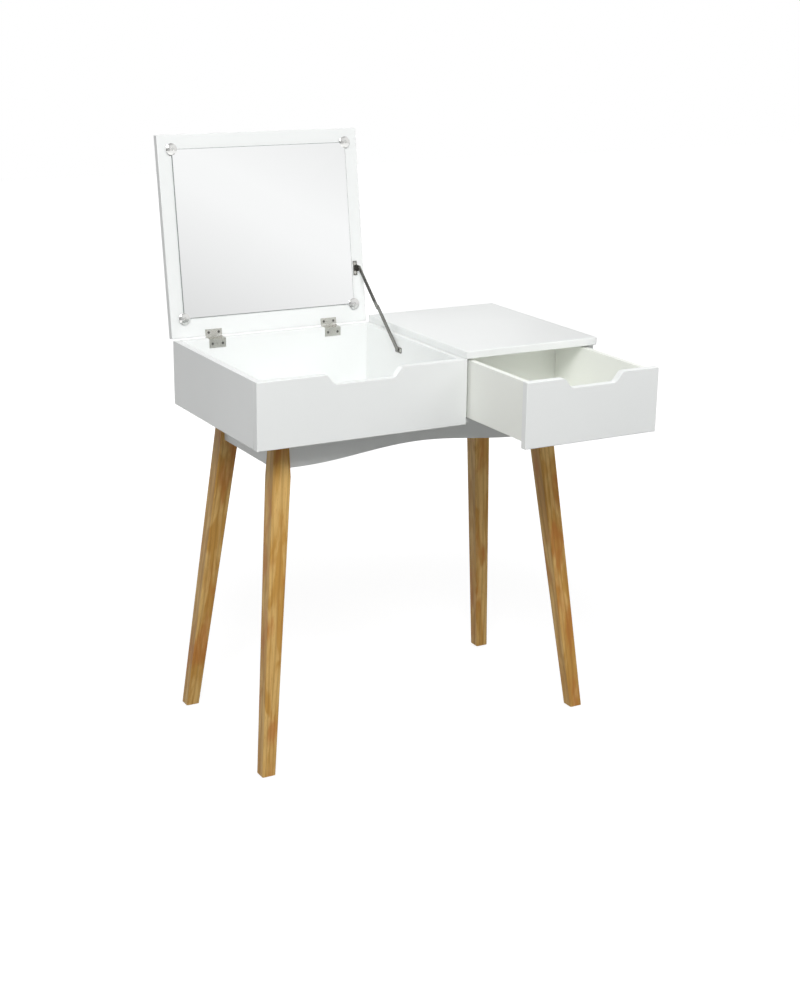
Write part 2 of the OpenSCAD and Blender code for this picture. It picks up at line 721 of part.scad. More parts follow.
// The leaf bent over the back wall's top edge
module fixed_leaf(x) nickel() in_frame() difference() {
    translate([x, 0, 0]) difference() {
        union() {
            span([-hinge_w / 2, back_y - leaf_t, plate_z - leaf_t],
                [hinge_w / 2, leaf_end, plate_z]);
            span([-hinge_w / 2, back_y - leaf_t, leaf_low], [hinge_w / 2, back_y, plate_z]);
            knuckle(knuckle_xs[0], plate_z - leaf_t, plate_z);
            knuckle(knuckle_xs[2], plate_z - leaf_t, plate_z);
        }
        pin_bore();
    }
    at_cabinet_hinge_screws() flat_hole();
}

module hinge_fixed_leaf_left() fixed_leaf(hinge_xs[0]);
module hinge_fixed_leaf_right() fixed_leaf(hinge_xs[1]);

// The leaf under the lid
module lid_leaf(x) nickel() lid_opened() difference() {
    translate([x, 0, 0]) difference() {
        union() {
            span([-hinge_w / 2, leaf_front, lid_leaf_z], [hinge_w / 2, leaf_end, lid_under]);
            knuckle(knuckle_xs[1], lid_leaf_z, lid_under);
        }
        pin_bore();
    }
    at_lid_hinge_screws() flat_hole();
}

module hinge_lid_leaf_left() lid_leaf(hinge_xs[0]);
module hinge_lid_leaf_right() lid_leaf(hinge_xs[1]);

module hinge_pins() nickel() in_frame() for (x = hinge_xs)
    rod_x(x - hinge_w / 2, x + hinge_w / 2, [pin_y, pin_z], pin_r);

module hinge_screws_cabinet() nickel() in_frame() at_cabinet_hinge_screws() flat_screw();
module hinge_screws_lid() nickel() lid_opened() at_lid_hinge_screws() flat_screw();

// ---------------------------------------------------------------- lid and mirror

module lid_panel() lacquer() lid_opened() difference() {
    board([0, 0, lid_under], [lid_w, table_d, lid_under + top_t]);
    at_lid_hinge_screws() flat_hole();
    at_stay_bracket_screws() flat_hole();
    at_clip_screws() screw_hole(clip_screw_l);
}

// The glass, with its corners cut out around the clips' bosses
module mirror_glass() color([0.8, 0.86, 0.88]) lid_opened() difference() {
    span([mirror_x[0], mirror_y[0], glass_z], [mirror_x[1], mirror_y[1], lid_under]);
    at_mirror_corners() translate([0, 0, glass_z - sliver])
        cylinder(h = glass_t + 2 * sliver, r = boss_r + touch);
}

module mirror_clips() chrome() lid_opened() difference() {
    at_mirror_corners() translate([0, 0, glass_z]) {
        dome(clip_d / 2, clip_h);
        cylinder(h = glass_t, r = boss_r);
    }
    at_clip_screws() flat_hole(clip_screw_l);
}

module mirror_clip_screws() chrome() lid_opened() at_clip_screws() flat_screw(clip_screw_l);

// ---------------------------------------------------------------- stay

// A link along +x from its pivot hole to its riveted end
module link_outline(l) difference() {
    union() {
        circle(d = link_w);
        translate([l, 0]) circle(d = link_w);
        translate([0, -link_w / 2]) square([l, link_w]);
    }
    circle(r = rivet_r + fit);
}

module stay_lower_link() nickel() in_frame() {
    translate([lower_link_x, stay_base[0], stay_base[1]]) rotate([stay_tilt, 0, 0])
        along_x(0, link_t) link_outline(link_l);
    rod_x(lower_link_x + link_t, lower_link_x + link_t + rivet_head_t, elbow, rivet_head_r);
}

module stay_upper_link() nickel() in_frame() {
    translate([upper_link_x, stay_top[0], stay_top[1]]) rotate([stay_tilt + 180, 0, 0])
        along_x(0, link_t) link_outline(upper_l);
    rod_x(upper_link_x - rivet_head_t, upper_link_x, elbow, rivet_head_r);
}

module stay_base_plate() nickel() in_frame() difference() {
    union() {
        along_x(wall_l - leaf_t, wall_l) eased_square(
            stay_base - [base_l, base_w] / 2, stay_base + [base_l, base_w] / 2, 2);
        rod_x(wall_l - leaf_t - boss_t, wall_l, stay_base, rivet_head_r);
    }
    rod_x(wall_l - far, wall_l + sliver, stay_base, rivet_r + fit);
    at_stay_base_screws() flat_hole();
}

module stay_base_rivet() nickel() in_frame() {
    head_x = lower_link_x - rivet_gap - rivet_head_t;
    rod_x(head_x, wall_l, stay_base, rivet_r);
    rod_x(head_x, head_x + rivet_head_t, stay_base, rivet_head_r);
}

module stay_base_screws() nickel() in_frame() at_stay_base_screws() flat_screw();

// The lid's bracket: a foot on the lid and an ear that carries the pivot
module stay_lid_bracket() nickel() lid_opened() difference() {
    union() {
        span([ear_x + leaf_t - bracket_foot, stay_top_shut[0] - bracket_l / 2, lid_leaf_z],
            [ear_x + leaf_t, stay_top_shut[0] + bracket_l / 2, lid_under]);
        along_x(ear_x, ear_x + leaf_t) polygon([
            [stay_top_shut[0] - bracket_ear / 2, lid_under],
            [stay_top_shut[0] - bracket_w / 2, stay_top_shut[1]],
            [stay_top_shut[0] + bracket_w / 2, stay_top_shut[1]],
            [stay_top_shut[0] + bracket_ear / 2, lid_under]]);
        rod_x(ear_x, ear_x + leaf_t, stay_top_shut, bracket_w / 2);
    }
    rod_x(ear_x - sliver, ear_x + leaf_t + sliver, stay_top_shut, rivet_r + fit);
    at_stay_bracket_screws() flat_hole();
}

module stay_lid_rivet() nickel() lid_opened() {
    head_x = upper_link_x + link_t + rivet_gap;
    rod_x(ear_x - rivet_head_t, head_x + rivet_head_t, stay_top_shut, rivet_r);
    rod_x(ear_x - rivet_head_t, ear_x, stay_top_shut, rivet_head_r);
    rod_x(head_x, head_x + rivet_head_t, stay_top_shut, rivet_head_r);
}

module stay_lid_screws() nickel() lid_opened() at_stay_bracket_screws() flat_screw();

// ---------------------------------------------------------------- drawer

// The thin bottom, held in grooves in the front and sides
module tray() span([box_x[0] + drawer_t - groove_d, board_t - groove_d, tray_z],
    [box_x[1] - drawer_t + groove_d, box_back, tray_z + drawer_floor_t]);

module drawer_front() lacquer() drawer_opened() difference() {
    notched_front(front_x, front_z, drawer_notch_w);
    tray();
    drawer_dowel_holes();
}

module drawer_side(x) lacquer() drawer_opened() difference() {
    span([x, board_t, box_z], [x + drawer_t, box_back, box_top]);
    tray();
    drawer_dowel_holes();
}

module drawer_side_left() drawer_side(box_x[0]);
module drawer_side_right() drawer_side(box_x[1] - drawer_t);

module drawer_back() lacquer() drawer_opened() difference() {
    span([box_x[0] + drawer_t, box_back - drawer_t, tray_z + drawer_floor_t],
        [box_x[1] - drawer_t, box_back, box_top]);
    at_shoe_screws() screw_hole();
    drawer_dowel_holes();
}

module drawer_bottom() lacquer() drawer_opened() tray();

// A plate on the drawer's back, with a foot that runs inside the rail
module drawer_guide_shoe() nylon() drawer_opened() difference() {
    rail_top = floor_z + rail_h;
    foot_low = floor_z + rail_t + touch;
    foot_top = rail_top - rail_t - touch;
    foot_w = rail_w - 2 * rail_t - 2 * touch;
    neck_w = rail_w - 2 * lip_w - 2 * touch;
    union() {
        span([mid_x - foot_w / 2, box_back, foot_low],
            [mid_x + foot_w / 2, box_back + shoe_l, foot_top]);
        span([mid_x - neck_w / 2, box_back, foot_low],
            [mid_x + neck_w / 2, box_back + shoe_l, rail_top + touch + shoe_t]);
        span([mid_x - shoe_w / 2, box_back, rail_top + touch],
            [mid_x + shoe_w / 2, box_back + shoe_t, rail_top + touch + shoe_h]);
    }
    at_shoe_screws() screw_hole();
}

module drawer_shoe_screws() steel() drawer_opened() at_shoe_screws() domed_screw();

left_side_panel();
right_side_panel();
partition();
back_panel();
compartment_front();
bottom_board();
fixed_top();
front_apron();
rear_apron();
left_apron();
right_apron();
leg_front_left();
leg_front_right();
leg_rear_left();
leg_rear_right();
foot_glides();
corner_plates();
corner_plate_screws();
hanger_bolts();
bolt_nuts();
apron_brackets();
apron_bracket_screws();
case_dowels();
drawer_rail();
drawer_rail_screws();
drawer_glide_pads();
hinge_fixed_leaf_left();
hinge_fixed_leaf_right();
hinge_pins();
hinge_screws_cabinet();
stay_base_plate();
stay_base_rivet();
stay_base_screws();
lid_panel();
mirror_glass();
mirror_clips();
mirror_clip_screws();
hinge_lid_leaf_left();
hinge_lid_leaf_right();
hinge_screws_lid();
stay_lid_bracket();
stay_lid_rivet();
stay_lid_screws();
stay_lower_link();
stay_upper_link();
drawer_front();
drawer_side_left();
drawer_side_right();
drawer_back();
drawer_bottom();
drawer_guide_shoe();
drawer_shoe_screws();
drawer_dowels();
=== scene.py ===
"""Dresses a flip top vanity table: sprayed white boards, honey stained legs, a mirror
under the lid, plated hardware and a pale studio. It is laid out as an add-on."""

import json
import math
import bmesh
import bpy
import numpy as np
from bpy.props import FloatProperty, FloatVectorProperty, IntProperty, PointerProperty
from mathutils import Matrix, Vector

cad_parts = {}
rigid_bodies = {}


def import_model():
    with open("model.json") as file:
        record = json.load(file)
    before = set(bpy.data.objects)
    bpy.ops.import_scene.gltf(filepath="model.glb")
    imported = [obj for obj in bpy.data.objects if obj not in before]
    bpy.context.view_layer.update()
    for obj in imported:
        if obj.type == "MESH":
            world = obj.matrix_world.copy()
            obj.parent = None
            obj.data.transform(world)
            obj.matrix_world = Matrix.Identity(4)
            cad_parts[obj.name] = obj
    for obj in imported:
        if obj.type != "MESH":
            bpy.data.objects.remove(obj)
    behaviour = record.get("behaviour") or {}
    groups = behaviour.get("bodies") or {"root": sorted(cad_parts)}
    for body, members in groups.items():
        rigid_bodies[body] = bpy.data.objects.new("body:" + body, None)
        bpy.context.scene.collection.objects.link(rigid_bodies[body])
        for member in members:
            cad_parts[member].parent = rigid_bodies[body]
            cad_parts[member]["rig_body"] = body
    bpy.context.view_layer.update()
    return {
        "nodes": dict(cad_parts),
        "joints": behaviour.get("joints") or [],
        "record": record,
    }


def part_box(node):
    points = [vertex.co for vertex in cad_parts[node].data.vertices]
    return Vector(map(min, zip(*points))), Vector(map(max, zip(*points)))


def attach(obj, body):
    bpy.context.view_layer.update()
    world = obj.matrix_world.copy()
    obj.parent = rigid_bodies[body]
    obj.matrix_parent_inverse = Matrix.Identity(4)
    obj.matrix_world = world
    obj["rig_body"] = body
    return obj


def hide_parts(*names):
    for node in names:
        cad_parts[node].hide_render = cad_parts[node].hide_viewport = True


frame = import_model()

bl_info = {
    "name": "Flip Top Vanity Table",
    "version": (1, 0, 0),
    "blender": (4, 5, 0),
    "location": "3D View > Sidebar > Vanity",
    "description": "Dresses the packed vanity table with its visible pieces and finishes",
    "category": "Object",
}

NODES = frame["nodes"]
SLOT_OF = {part["node"]: part["material_slot"] for part in frame["record"]["subparts"]}
LID_HINGE = next(j for j in frame["joints"] if j["name"] == "lid_hinge")
LID_PIN = Vector(LID_HINGE["pos_m"])
LID_OPEN = math.radians(LID_HINGE["range_deg"][1])

MM = 0.001
MERGE = 0.002 * MM  # points of a CAD mesh that are this close are one point
FLAT = math.radians(0.5)  # faces that meet within this angle are one face
CHAMFER = math.radians(30)  # a chamfer meets its board at more than this angle
CORNER = math.radians(60)  # a square edge turns by more than this angle
CREASE = math.radians(40)  # shading breaks at edges that turn by more than this
LEG_SHORTEST = 6 * MM  # a leg's edges that are shorter than this stay crisp
FACING = 0.99  # a normal whose cosine with a direction is above this points there

# How a CAD screw is measured
HEAD_BAND = 0.05 * MM  # points this near to the widest radius belong to the head's edge
SHANK_FROM = 0.3  # the shank is measured past this share of the screw's length
OFF_AXIS = 0.3 * MM  # points nearer to the axis than this belong to the tip
SHANK_BAND = 0.1 * MM  # points this near to the shank's radius belong to the shank

SCREW_TURN = 37  # degrees from one screw's cross to the next one's
# Shares of a screw head's radius: the cross and the rings around it
CROSS_WIDTH, CROSS_REACH, CROSS_RING = 0.13, 0.58, 0.72
HEAD_RINGS = (0.86, 0.93)
HEAD_EDGE = 0.1  # height of the head's edge, as a share of its radius
FLAT_CROWN = 0.2 * MM  # a head with less crown than this is a flat one
RECESS_TAPER = 0.6  # the cross's width at the bottom of its recess, as a share

CLIP_RINGS = (0.985, 0.94, 0.86, 0.74, 0.6, 0.45)  # of a clip's dome, as shares of its radius
CLIP_SEAT = 0.6 * MM  # depth of the upright wall around a clip screw's head
CLIP_CONE = 1.4 * MM  # depth at which the screw's cone meets its bore
CLIP_BORE = 1.6 * MM  # radius of that bore
CLIP_PLAY = 0.05 * MM  # gap around the head of a clip's screw

PLANK_STEP = Vector((0.13, 0.07, 1.7))  # from one leg's part of the wood to the next one's
WAVE_TURN = 20  # radians that the wave node turns by in a metre, at a scale of 1
PAPER_GLOW = 0.8  # of white, that the sweep gives by itself near the table
PAPER_LIT = 0.33  # of the lamps' light, that the sweep adds to its glow

# Places along a diagonal that climbs to the right, and the room's brightness there
FALL_OF_LIGHT = (
    (0.3, 0.72),
    (0.35, 0.86),
    (0.39, 0.96),
    (0.41, 0.97),
    (0.46, 0.88),
)
FALL_FOOT, FALL_TOP = 0.66, 1
FALL_SLANT = (0.68, 0, 1)

FLOOR_REACH = 9  # metres from the middle to the floor's edge
LAMPS_AIM = Vector((0, 0, 0.7))
# Size and distance in metres, turn from straight in front and rise in degrees
SOFTBOXES = {
    "key": {"size": 1.4, "turn": -31, "rise": 42, "reach": 3.6},
    "fill": {"size": 1.0, "turn": 40, "rise": 30, "reach": 2.2},
    "side": {"size": 1.0, "turn": -60, "rise": 20, "reach": 2.2},
    "rear": {"size": 1.0, "turn": 120, "rise": 60, "reach": 2.2},
    "back": {"size": 1.4, "turn": 180, "rise": 12, "reach": 3.0},
}
SHOWN_IN_MIRROR = ("key", "rear")  # the others would show in the mirror and on the tops
SENSOR_HEIGHT = 36  # millimetres, to which the lens length belongs
VIEW_END = 50  # metres that the camera sees, past the floor's far edge


def linear(code):
    """An sRGB hex colour such as #C8A060 as linear light."""
    parts = [int(code[i : i + 2], 16) / 255 for i in (1, 3, 5)]
    return tuple(p / 12.92 if p <= 0.04045 else ((p + 0.055) / 1.055) ** 2.4 for p in parts)


def dulled(colour, share):
    """A colour with only a share of its light."""
    return tuple(share * part for part in colour)


def colour_property(name, description, code):
    """A colour that a user can pick, with its default as an sRGB hex value."""
    return FloatVectorProperty(
        name=name, description=description, default=linear(code), subtype="COLOR", min=0, max=1
    )


def length_property(name, description, default_mm):
    """A length that a user can set, with its default in millimetres."""
    return FloatProperty(
        name=name, description=description, default=default_mm * MM, min=0, unit="LENGTH"
    )


# ------------------------------------------------------------------- what a user can set


class VanitySizes(bpy.types.PropertyGroup):
    """Small sizes that the construction model leaves to the finish."""

    board_edge: length_property("Board edge", "Rounding of a board's square edges", 0.7)
    chamfer_edge: length_property("Chamfer edge", "Rounding beside a board's chamfers", 0.4)
    leg_edge: length_property("Leg edge", "Rounding beside a leg's chamfers", 0.9)
    metal_edge: length_property("Metal edge", "Rounding of pressed metal edges", 0.22)
    nylon_edge: length_property("Nylon edge", "Rounding of the moulded nylon pieces", 0.4)
    glass_arris: length_property("Glass arris", "Width of the mirror's ground arris", 1.2)
    clip_rim: length_property("Clip rim", "Height of a mirror clip's upright rim", 0.7)
    recess_deep: length_property("Recess depth", "Depth of a screw's cross recess", 0.9)
    spin_steps: IntProperty(
        name="Spin steps", description="Facets around a turned piece", default=32, min=12
    )


class VanityColours(bpy.types.PropertyGroup):
    """Colours of the finishes."""

    lacquer: colour_property("Lacquer", "White lacquer of the boards", "#F2F4F3")
    lacquer_shade: colour_property("Lacquer shade", "Its faint mottle", "#EEF0EF")
    # The drawer box's white is brighter and warmer than the boards': painted light on the drawer
    # box and painted warm shade inside it
    box_lacquer: colour_property("Drawer box", "Thin white lacquer of the drawer box", "#F7F9F3")
    wood_light: colour_property("Light wood", "Pale early wood of the legs", "#E4BB73")
    wood_mid: colour_property("Honey wood", "Body colour of the stained legs", "#CB994B")
    wood_dark: colour_property("Dark wood", "Late wood lines of the legs", "#9E6B28")
    wood_red: colour_property("Red wood", "Warm patches in the legs", "#BC702C")
    silver: colour_property("Silvering", "Reflection of the mirror", "#FBFCFC")
    arris: colour_property("Glass edge", "Ground edge of the mirror", "#858C8A")
    chrome: colour_property("Chrome", "Chrome of the mirror clips", "#E6E6E4")
    nickel: colour_property("Nickel", "Satin nickel of the hinges", "#E6E5DF")
    nickel_dark: colour_property("Nickel in grooves", "Nickel where it is dull", "#B6B5AD")
    # Darker nickel: the stay's own, and painted shade on the hinges' pins and screws
    burnished: colour_property("Burnished steel", "Nickel over dark steel of the stay", "#9C9B96")
    zinc: colour_property("Zinc", "Bright zinc of hidden steel", "#A9ADB2")
    nylon: colour_property("Nylon", "Natural nylon", "#E2E0D6")
    beech: colour_property("Beech", "Bare beech dowels", "#D2B083")
    floor: colour_property("Floor", "Floor as it lights the table", "#868786")


class VanityStudio(bpy.types.PropertyGroup):
    """Lamps and camera of the studio."""

    key_power: FloatProperty(
        name="Key lamp", description="Power of the soft lamp at the left", default=91, min=0
    )
    fill_power: FloatProperty(
        name="Fill lamp", description="Power of the soft lamp at the right", default=8.5, min=0
    )
    side_power: FloatProperty(
        name="Side lamp", description="Power of the low lamp at the left", default=3, min=0
    )
    rear_power: FloatProperty(
        name="Rear lamp", description="Power of the high lamp behind", default=6, min=0
    )
    back_power: FloatProperty(
        name="Back lamp", description="Power of the low lamp straight behind", default=16, min=0
    )
    ambient: FloatProperty(
        name="Ambient", description="Strength of the even sky light", default=0.35, min=0
    )
    lens: FloatProperty(
        name="Lens", description="Focal length in millimetres", default=62.04, min=1
    )
    turn: FloatProperty(
        name="Turn",
        description="Camera's direction, from straight in front",
        default=math.radians(-29.32),
        subtype="ANGLE",
    )
    rise: FloatProperty(
        name="Rise",
        description="How far the camera looks down",
        default=math.radians(17.43),
        subtype="ANGLE",
    )
    roll: FloatProperty(
        name="Roll",
        description="Camera's turn about its own axis",
        default=math.radians(0.80),
        subtype="ANGLE",
    )
    place: FloatVectorProperty(
        name="Place",
        description="Where the camera stands",
        default=(-1.6276, -2.8990, 1.5172),
        subtype="TRANSLATION",
        unit="LENGTH",
    )


# ------------------------------------------------------------------- finishes


def per(size_mm):
    """The scale that gives a noise or cell pattern features of that size."""
    return 1 / (size_mm * MM)


def add(tree, kind, inputs=None, **settings):
    """Adds a node, with its settings and with its inputs set or linked."""
    node = tree.nodes.new(kind)
    for name, value in settings.items():
        setattr(node, name, value)
    for socket, value in (inputs or {}).items():
        if isinstance(value, bpy.types.NodeSocket):
            tree.links.new(value, node.inputs[socket])
        else:
            node.inputs[socket].default_value = value
    return node


def opaque(colour):
    """A colour with its alpha."""
    return (*colour, 1)


def begin(name):
    """A new material with a shader on its output, and the tree to build in."""
    material = bpy.data.materials.new(name)
    material.use_nodes = True
    tree = material.node_tree
    tree.nodes.clear()
    shader = add(tree, "ShaderNodeBsdfPrincipled")
    output = add(tree, "ShaderNodeOutputMaterial")
    tree.links.new(shader.outputs["BSDF"], output.inputs["Surface"])
    return material, tree, shader


def feed(tree, shader, **sources):
    """Links outputs to the shader's sockets, named with underscores for spaces."""
    for socket, output in sources.items():
        tree.links.new(output, shader.inputs[socket.replace("_", " ")])


def sprayed_lacquer_on_fibreboard():
    """Satin white polyurethane, sprayed on the fibreboard that shows from outside."""
    look = bpy.context.scene.vanity_colours
    return sprayed_lacquer("sprayed_lacquer_on_fibreboard", look.lacquer, look.lacquer_shade)


def lacquer_of_the_drawer_box():
    """The same satin white in one thin coat, brighter and warmer than the boards' lacquer: the
    extra brightness is painted light on the drawer box, and the warm tint is painted warm shade
    inside the drawer.
    """
    look = bpy.context.scene.vanity_colours
    thin = dulled(look.box_lacquer, 0.96)
    return sprayed_lacquer("lacquer_of_the_drawer_box", look.box_lacquer, thin)


def sprayed_lacquer(name, coat, thin):
    """Satin polyurethane: an even white with a soft sheen, a faint cloudiness where the
    coat is thicker, and a slight orange peel."""
    material, tree, shader = begin(name)
    at = add(tree, "ShaderNodeTexCoord").outputs["Object"]
    cloud = add(tree, "ShaderNodeTexNoise", {"Vector": at, "Scale": per(140), "Detail": 3})
    tint = add(
        tree,
        "ShaderNodeMix",
        {"Factor": cloud.outputs["Fac"], "A": opaque(coat), "B": opaque(thin)},
        data_type="RGBA",
    )
    gloss = add(
        tree,
        "ShaderNodeMapRange",
        {"Value": cloud.outputs["Fac"], "To Min": 0.36, "To Max": 0.46},
    )
    # The peel is about 1 mm across on the real coat, and is drawn at 3 mm so that it shows
    peel = add(tree, "ShaderNodeTexNoise", {"Vector": at, "Scale": per(3), "Detail": 2})
    relief = add(
        tree,
        "ShaderNodeBump",
        {"Height": peel.outputs["Fac"], "Strength": 0.25, "Distance": 0.03 * MM},
    )
    shader.inputs["IOR"].default_value = 1.5
    shader.inputs["Coat Weight"].default_value = 0.15
    shader.inputs["Coat Roughness"].default_value = 0.2
    feed(
        tree,
        shader,
        Base_Color=tint.outputs[2],
        Roughness=gloss.outputs["Result"],
        Normal=relief.outputs["Normal"],
    )
    return material


def stained_rubberwood():
    """Rubberwood with honey stain and clear satin lacquer: fine fibres along the leg, wavy
    growth rings that show as flames, warm patches where the stain sank in, and short
    dark pores. It reads each leg's own grain coordinates."""
    look = bpy.context.scene.vanity_colours
    material, tree, shader = begin("stained_rubberwood")
    grain = add(
        tree, "ShaderNodeAttribute", attribute_type="GEOMETRY", attribute_name="grain"
    ).outputs["Vector"]
    # Fibres are drawn 1.6 mm wide, so that they show, and over 30 times as long
    stretched = add(tree, "ShaderNodeMapping", {"Vector": grain, "Scale": (1, 1, 0.03)})
    fibres = add(
        tree,
        "ShaderNodeTexNoise",
        {"Vector": stretched.outputs["Vector"], "Scale": per(1.6), "Detail": 5, "Roughness": 0.6},
    )
    # Flames, about 20 mm wide and 110 mm long, where the saw cut through wavy growth
    flame_at = add(
        tree,
        "ShaderNodeMapping",
        {"Vector": grain, "Rotation": (0.1, 0, 0), "Scale": (1, 1, 0.18)},
    )
    flames = add(
        tree,
        "ShaderNodeTexNoise",
        {"Vector": flame_at.outputs["Vector"], "Scale": per(20), "Detail": 3, "Distortion": 0.8},
    )
    pale = add(
        tree,
        "ShaderNodeMapRange",
        {"Value": flames.outputs["Fac"], "From Min": 0.4, "From Max": 0.62},
        interpolation_type="SMOOTHSTEP",
    )
    # Rings 9 mm apart, around a pith so far outside the leg that they are nearly straight
    pith = add(
        tree,
        "ShaderNodeMapping",
        {"Vector": grain, "Location": (0.034, 0.021, 0), "Scale": (1, 1, 0.11)},
    )
    ring_scale = 2 * math.pi / WAVE_TURN / (9 * MM)
    rings = add(
        tree,
        "ShaderNodeTexWave",
        {
            "Vector": pith.outputs["Vector"],
            "Scale": ring_scale,
            "Distortion": 9,
            "Detail": 2,
            "Detail Scale": 0.6,
        },
        wave_type="RINGS",
        rings_direction="Z",
    )
    lines = add(
        tree,
        "ShaderNodeMapRange",
        {"Value": rings.outputs["Fac"], "From Min": 0.45, "To Min": 0, "To Max": 0.34},
        interpolation_type="SMOOTHSTEP",
    )
    # Warm patches, 30 mm wide and about 110 mm long
    patch_at = add(tree, "ShaderNodeMapping", {"Vector": grain, "Scale": (1, 1, 0.28)})
    patches = add(
        tree,
        "ShaderNodeTexNoise",
        {"Vector": patch_at.outputs["Vector"], "Scale": per(30), "Detail": 3},
    )
    warm = add(
        tree,
        "ShaderNodeMapRange",
        {"Value": patches.outputs["Fac"], "From Min": 0.5, "From Max": 0.68, "To Max": 0.65},
        interpolation_type="SMOOTHSTEP",
    )
    body = add(
        tree,
        "ShaderNodeMix",
        {
            "Factor": pale.outputs["Result"],
            "A": opaque(look.wood_mid),
            "B": opaque(look.wood_light),
        },
        data_type="RGBA",
    )
    ringed = add(
        tree,
        "ShaderNodeMix",
        {
            "Factor": lines.outputs["Result"],
            "A": body.outputs[2],
            "B": opaque(look.wood_dark),
        },
        data_type="RGBA",
    )
    warmed = add(
        tree,
        "ShaderNodeMix",
        {
            "Factor": warm.outputs["Result"],
            "A": ringed.outputs[2],
            "B": opaque(look.wood_red),
        },
        data_type="RGBA",
    )
    thread = add(
        tree,
        "ShaderNodeMapRange",
        {"Value": fibres.outputs["Fac"], "From Min": 0.3, "From Max": 0.7, "To Min": 0.86},
    )
    threaded = add(
        tree,
        "ShaderNodeVectorMath",
        {0: warmed.outputs[2], 1: thread.outputs["Result"]},
        operation="MULTIPLY",
    )
    # Pores are finer on the real wood, and their pattern is drawn at 0.9 mm to show them
    pore_at = add(tree, "ShaderNodeMapping", {"Vector": grain, "Scale": (1, 1, 0.07)})
    pores = add(
        tree,
        "ShaderNodeTexNoise",
        {"Vector": pore_at.outputs["Vector"], "Scale": per(0.9), "Detail": 1},
    )
    pitted = add(
        tree,
        "ShaderNodeMapRange",
        {"Value": pores.outputs["Fac"], "From Min": 0.66, "From Max": 0.74, "To Max": 0.45},
    )
    pored = add(
        tree,
        "ShaderNodeMix",
        {
            "Factor": pitted.outputs["Result"],
            "A": threaded.outputs["Vector"],
            "B": opaque(look.wood_dark),
        },
        data_type="RGBA",
    )
    gloss = add(
        tree,
        "ShaderNodeMapRange",
        {"Value": fibres.outputs["Fac"], "To Min": 0.42, "To Max": 0.56},
    )
    relief = add(
        tree,
        "ShaderNodeBump",
        {"Height": fibres.outputs["Fac"], "Strength": 0.3, "Distance": 0.06 * MM},
    )
    shader.inputs["IOR"].default_value = 1.5
    shader.inputs["Specular IOR Level"].default_value = 0.3  # open pores swallow some sheen
    shader.inputs["Coat Weight"].default_value = 0.04
    shader.inputs["Coat Roughness"].default_value = 0.3
    feed(
        tree,
        shader,
        Base_Color=pored.outputs[2],
        Roughness=gloss.outputs["Result"],
        Normal=relief.outputs["Normal"],
    )
    return material


def silvered_float_glass():
    """Float glass with silver on its back: a clear mirror with the faintest haze."""
    look = bpy.context.scene.vanity_colours
    material, tree, shader = begin("silvered_float_glass")
    at = add(tree, "ShaderNodeTexCoord").outputs["Object"]
    haze = add(tree, "ShaderNodeTexNoise", {"Vector": at, "Scale": per(60), "Detail": 2})
    gloss = add(
        tree,
        "ShaderNodeMapRange",
        {"Value": haze.outputs["Fac"], "To Min": 0.0, "To Max": 0.03},
    )
    shader.inputs["Base Color"].default_value = opaque(look.silver)
    shader.inputs["Metallic"].default_value = 1
    feed(tree, shader, Roughness=gloss.outputs["Result"])
    return material


def ground_glass_edge():
    """The mirror's ground and polished edge, which shows the dark paint on its back."""
    look = bpy.context.scene.vanity_colours
    material, tree, shader = begin("ground_glass_edge")
    at = add(tree, "ShaderNodeTexCoord").outputs["Object"]
    grit = add(tree, "ShaderNodeTexNoise", {"Vector": at, "Scale": per(2), "Detail": 2})
    gloss = add(
        tree,
        "ShaderNodeMapRange",
        {"Value": grit.outputs["Fac"], "To Min": 0.12, "To Max": 0.3},
    )
    shader.inputs["Base Color"].default_value = opaque(look.arris)
    shader.inputs["IOR"].default_value = 1.52
    feed(tree, shader, Roughness=gloss.outputs["Result"])
    return material


def metal(name, colour, dull, rough, streak_mm, relief_mm):
    """A plated metal: its colour, a duller tone in a fine pattern of streaks, the range of
    its roughness, and the size of the streaks and of their relief."""
    material, tree, shader = begin(name)
    at = add(tree, "ShaderNodeTexCoord").outputs["Object"]
    # Streaks about 8 times as long as wide, along the width of the table
    drawn = add(tree, "ShaderNodeMapping", {"Vector": at, "Scale": (0.12, 1, 1)})
    streaks = add(
        tree,
        "ShaderNodeTexNoise",
        {"Vector": drawn.outputs["Vector"], "Scale": per(streak_mm), "Detail": 4},
    )
    tint = add(
        tree,
        "ShaderNodeMix",
        {"Factor": streaks.outputs["Fac"], "A": opaque(colour), "B": opaque(dull)},
        data_type="RGBA",
    )
    gloss = add(
        tree,
        "ShaderNodeMapRange",
        {"Value": streaks.outputs["Fac"], "To Min": rough[0], "To Max": rough[1]},
    )
    relief = add(
        tree,
        "ShaderNodeBump",
        {"Height": streaks.outputs["Fac"], "Strength": 0.3, "Distance": relief_mm * MM},
    )
    shader.inputs["Metallic"].default_value = 1
    feed(
        tree,
        shader,
        Base_Color=tint.outputs[2],
        Roughness=gloss.outputs["Result"],
        Normal=relief.outputs["Normal"],
    )
    return material


def chrome_plated_brass():
    """Polished chrome on brass: near mirror bright, with the faintest polishing marks."""
    look = bpy.context.scene.vanity_colours
    dull = dulled(look.chrome, 0.93)
    return metal("chrome_plated_brass", look.chrome, dull, (0.03, 0.09), 1.5, 0.002)


def satin_nickel_on_steel():
    """Satin nickel on pressed steel: grey with an olive warmth, brushed along its length."""
    look = bpy.context.scene.vanity_colours
    return metal("satin_nickel_on_steel", look.nickel, look.nickel_dark, (0.2, 0.34), 1, 0.01)


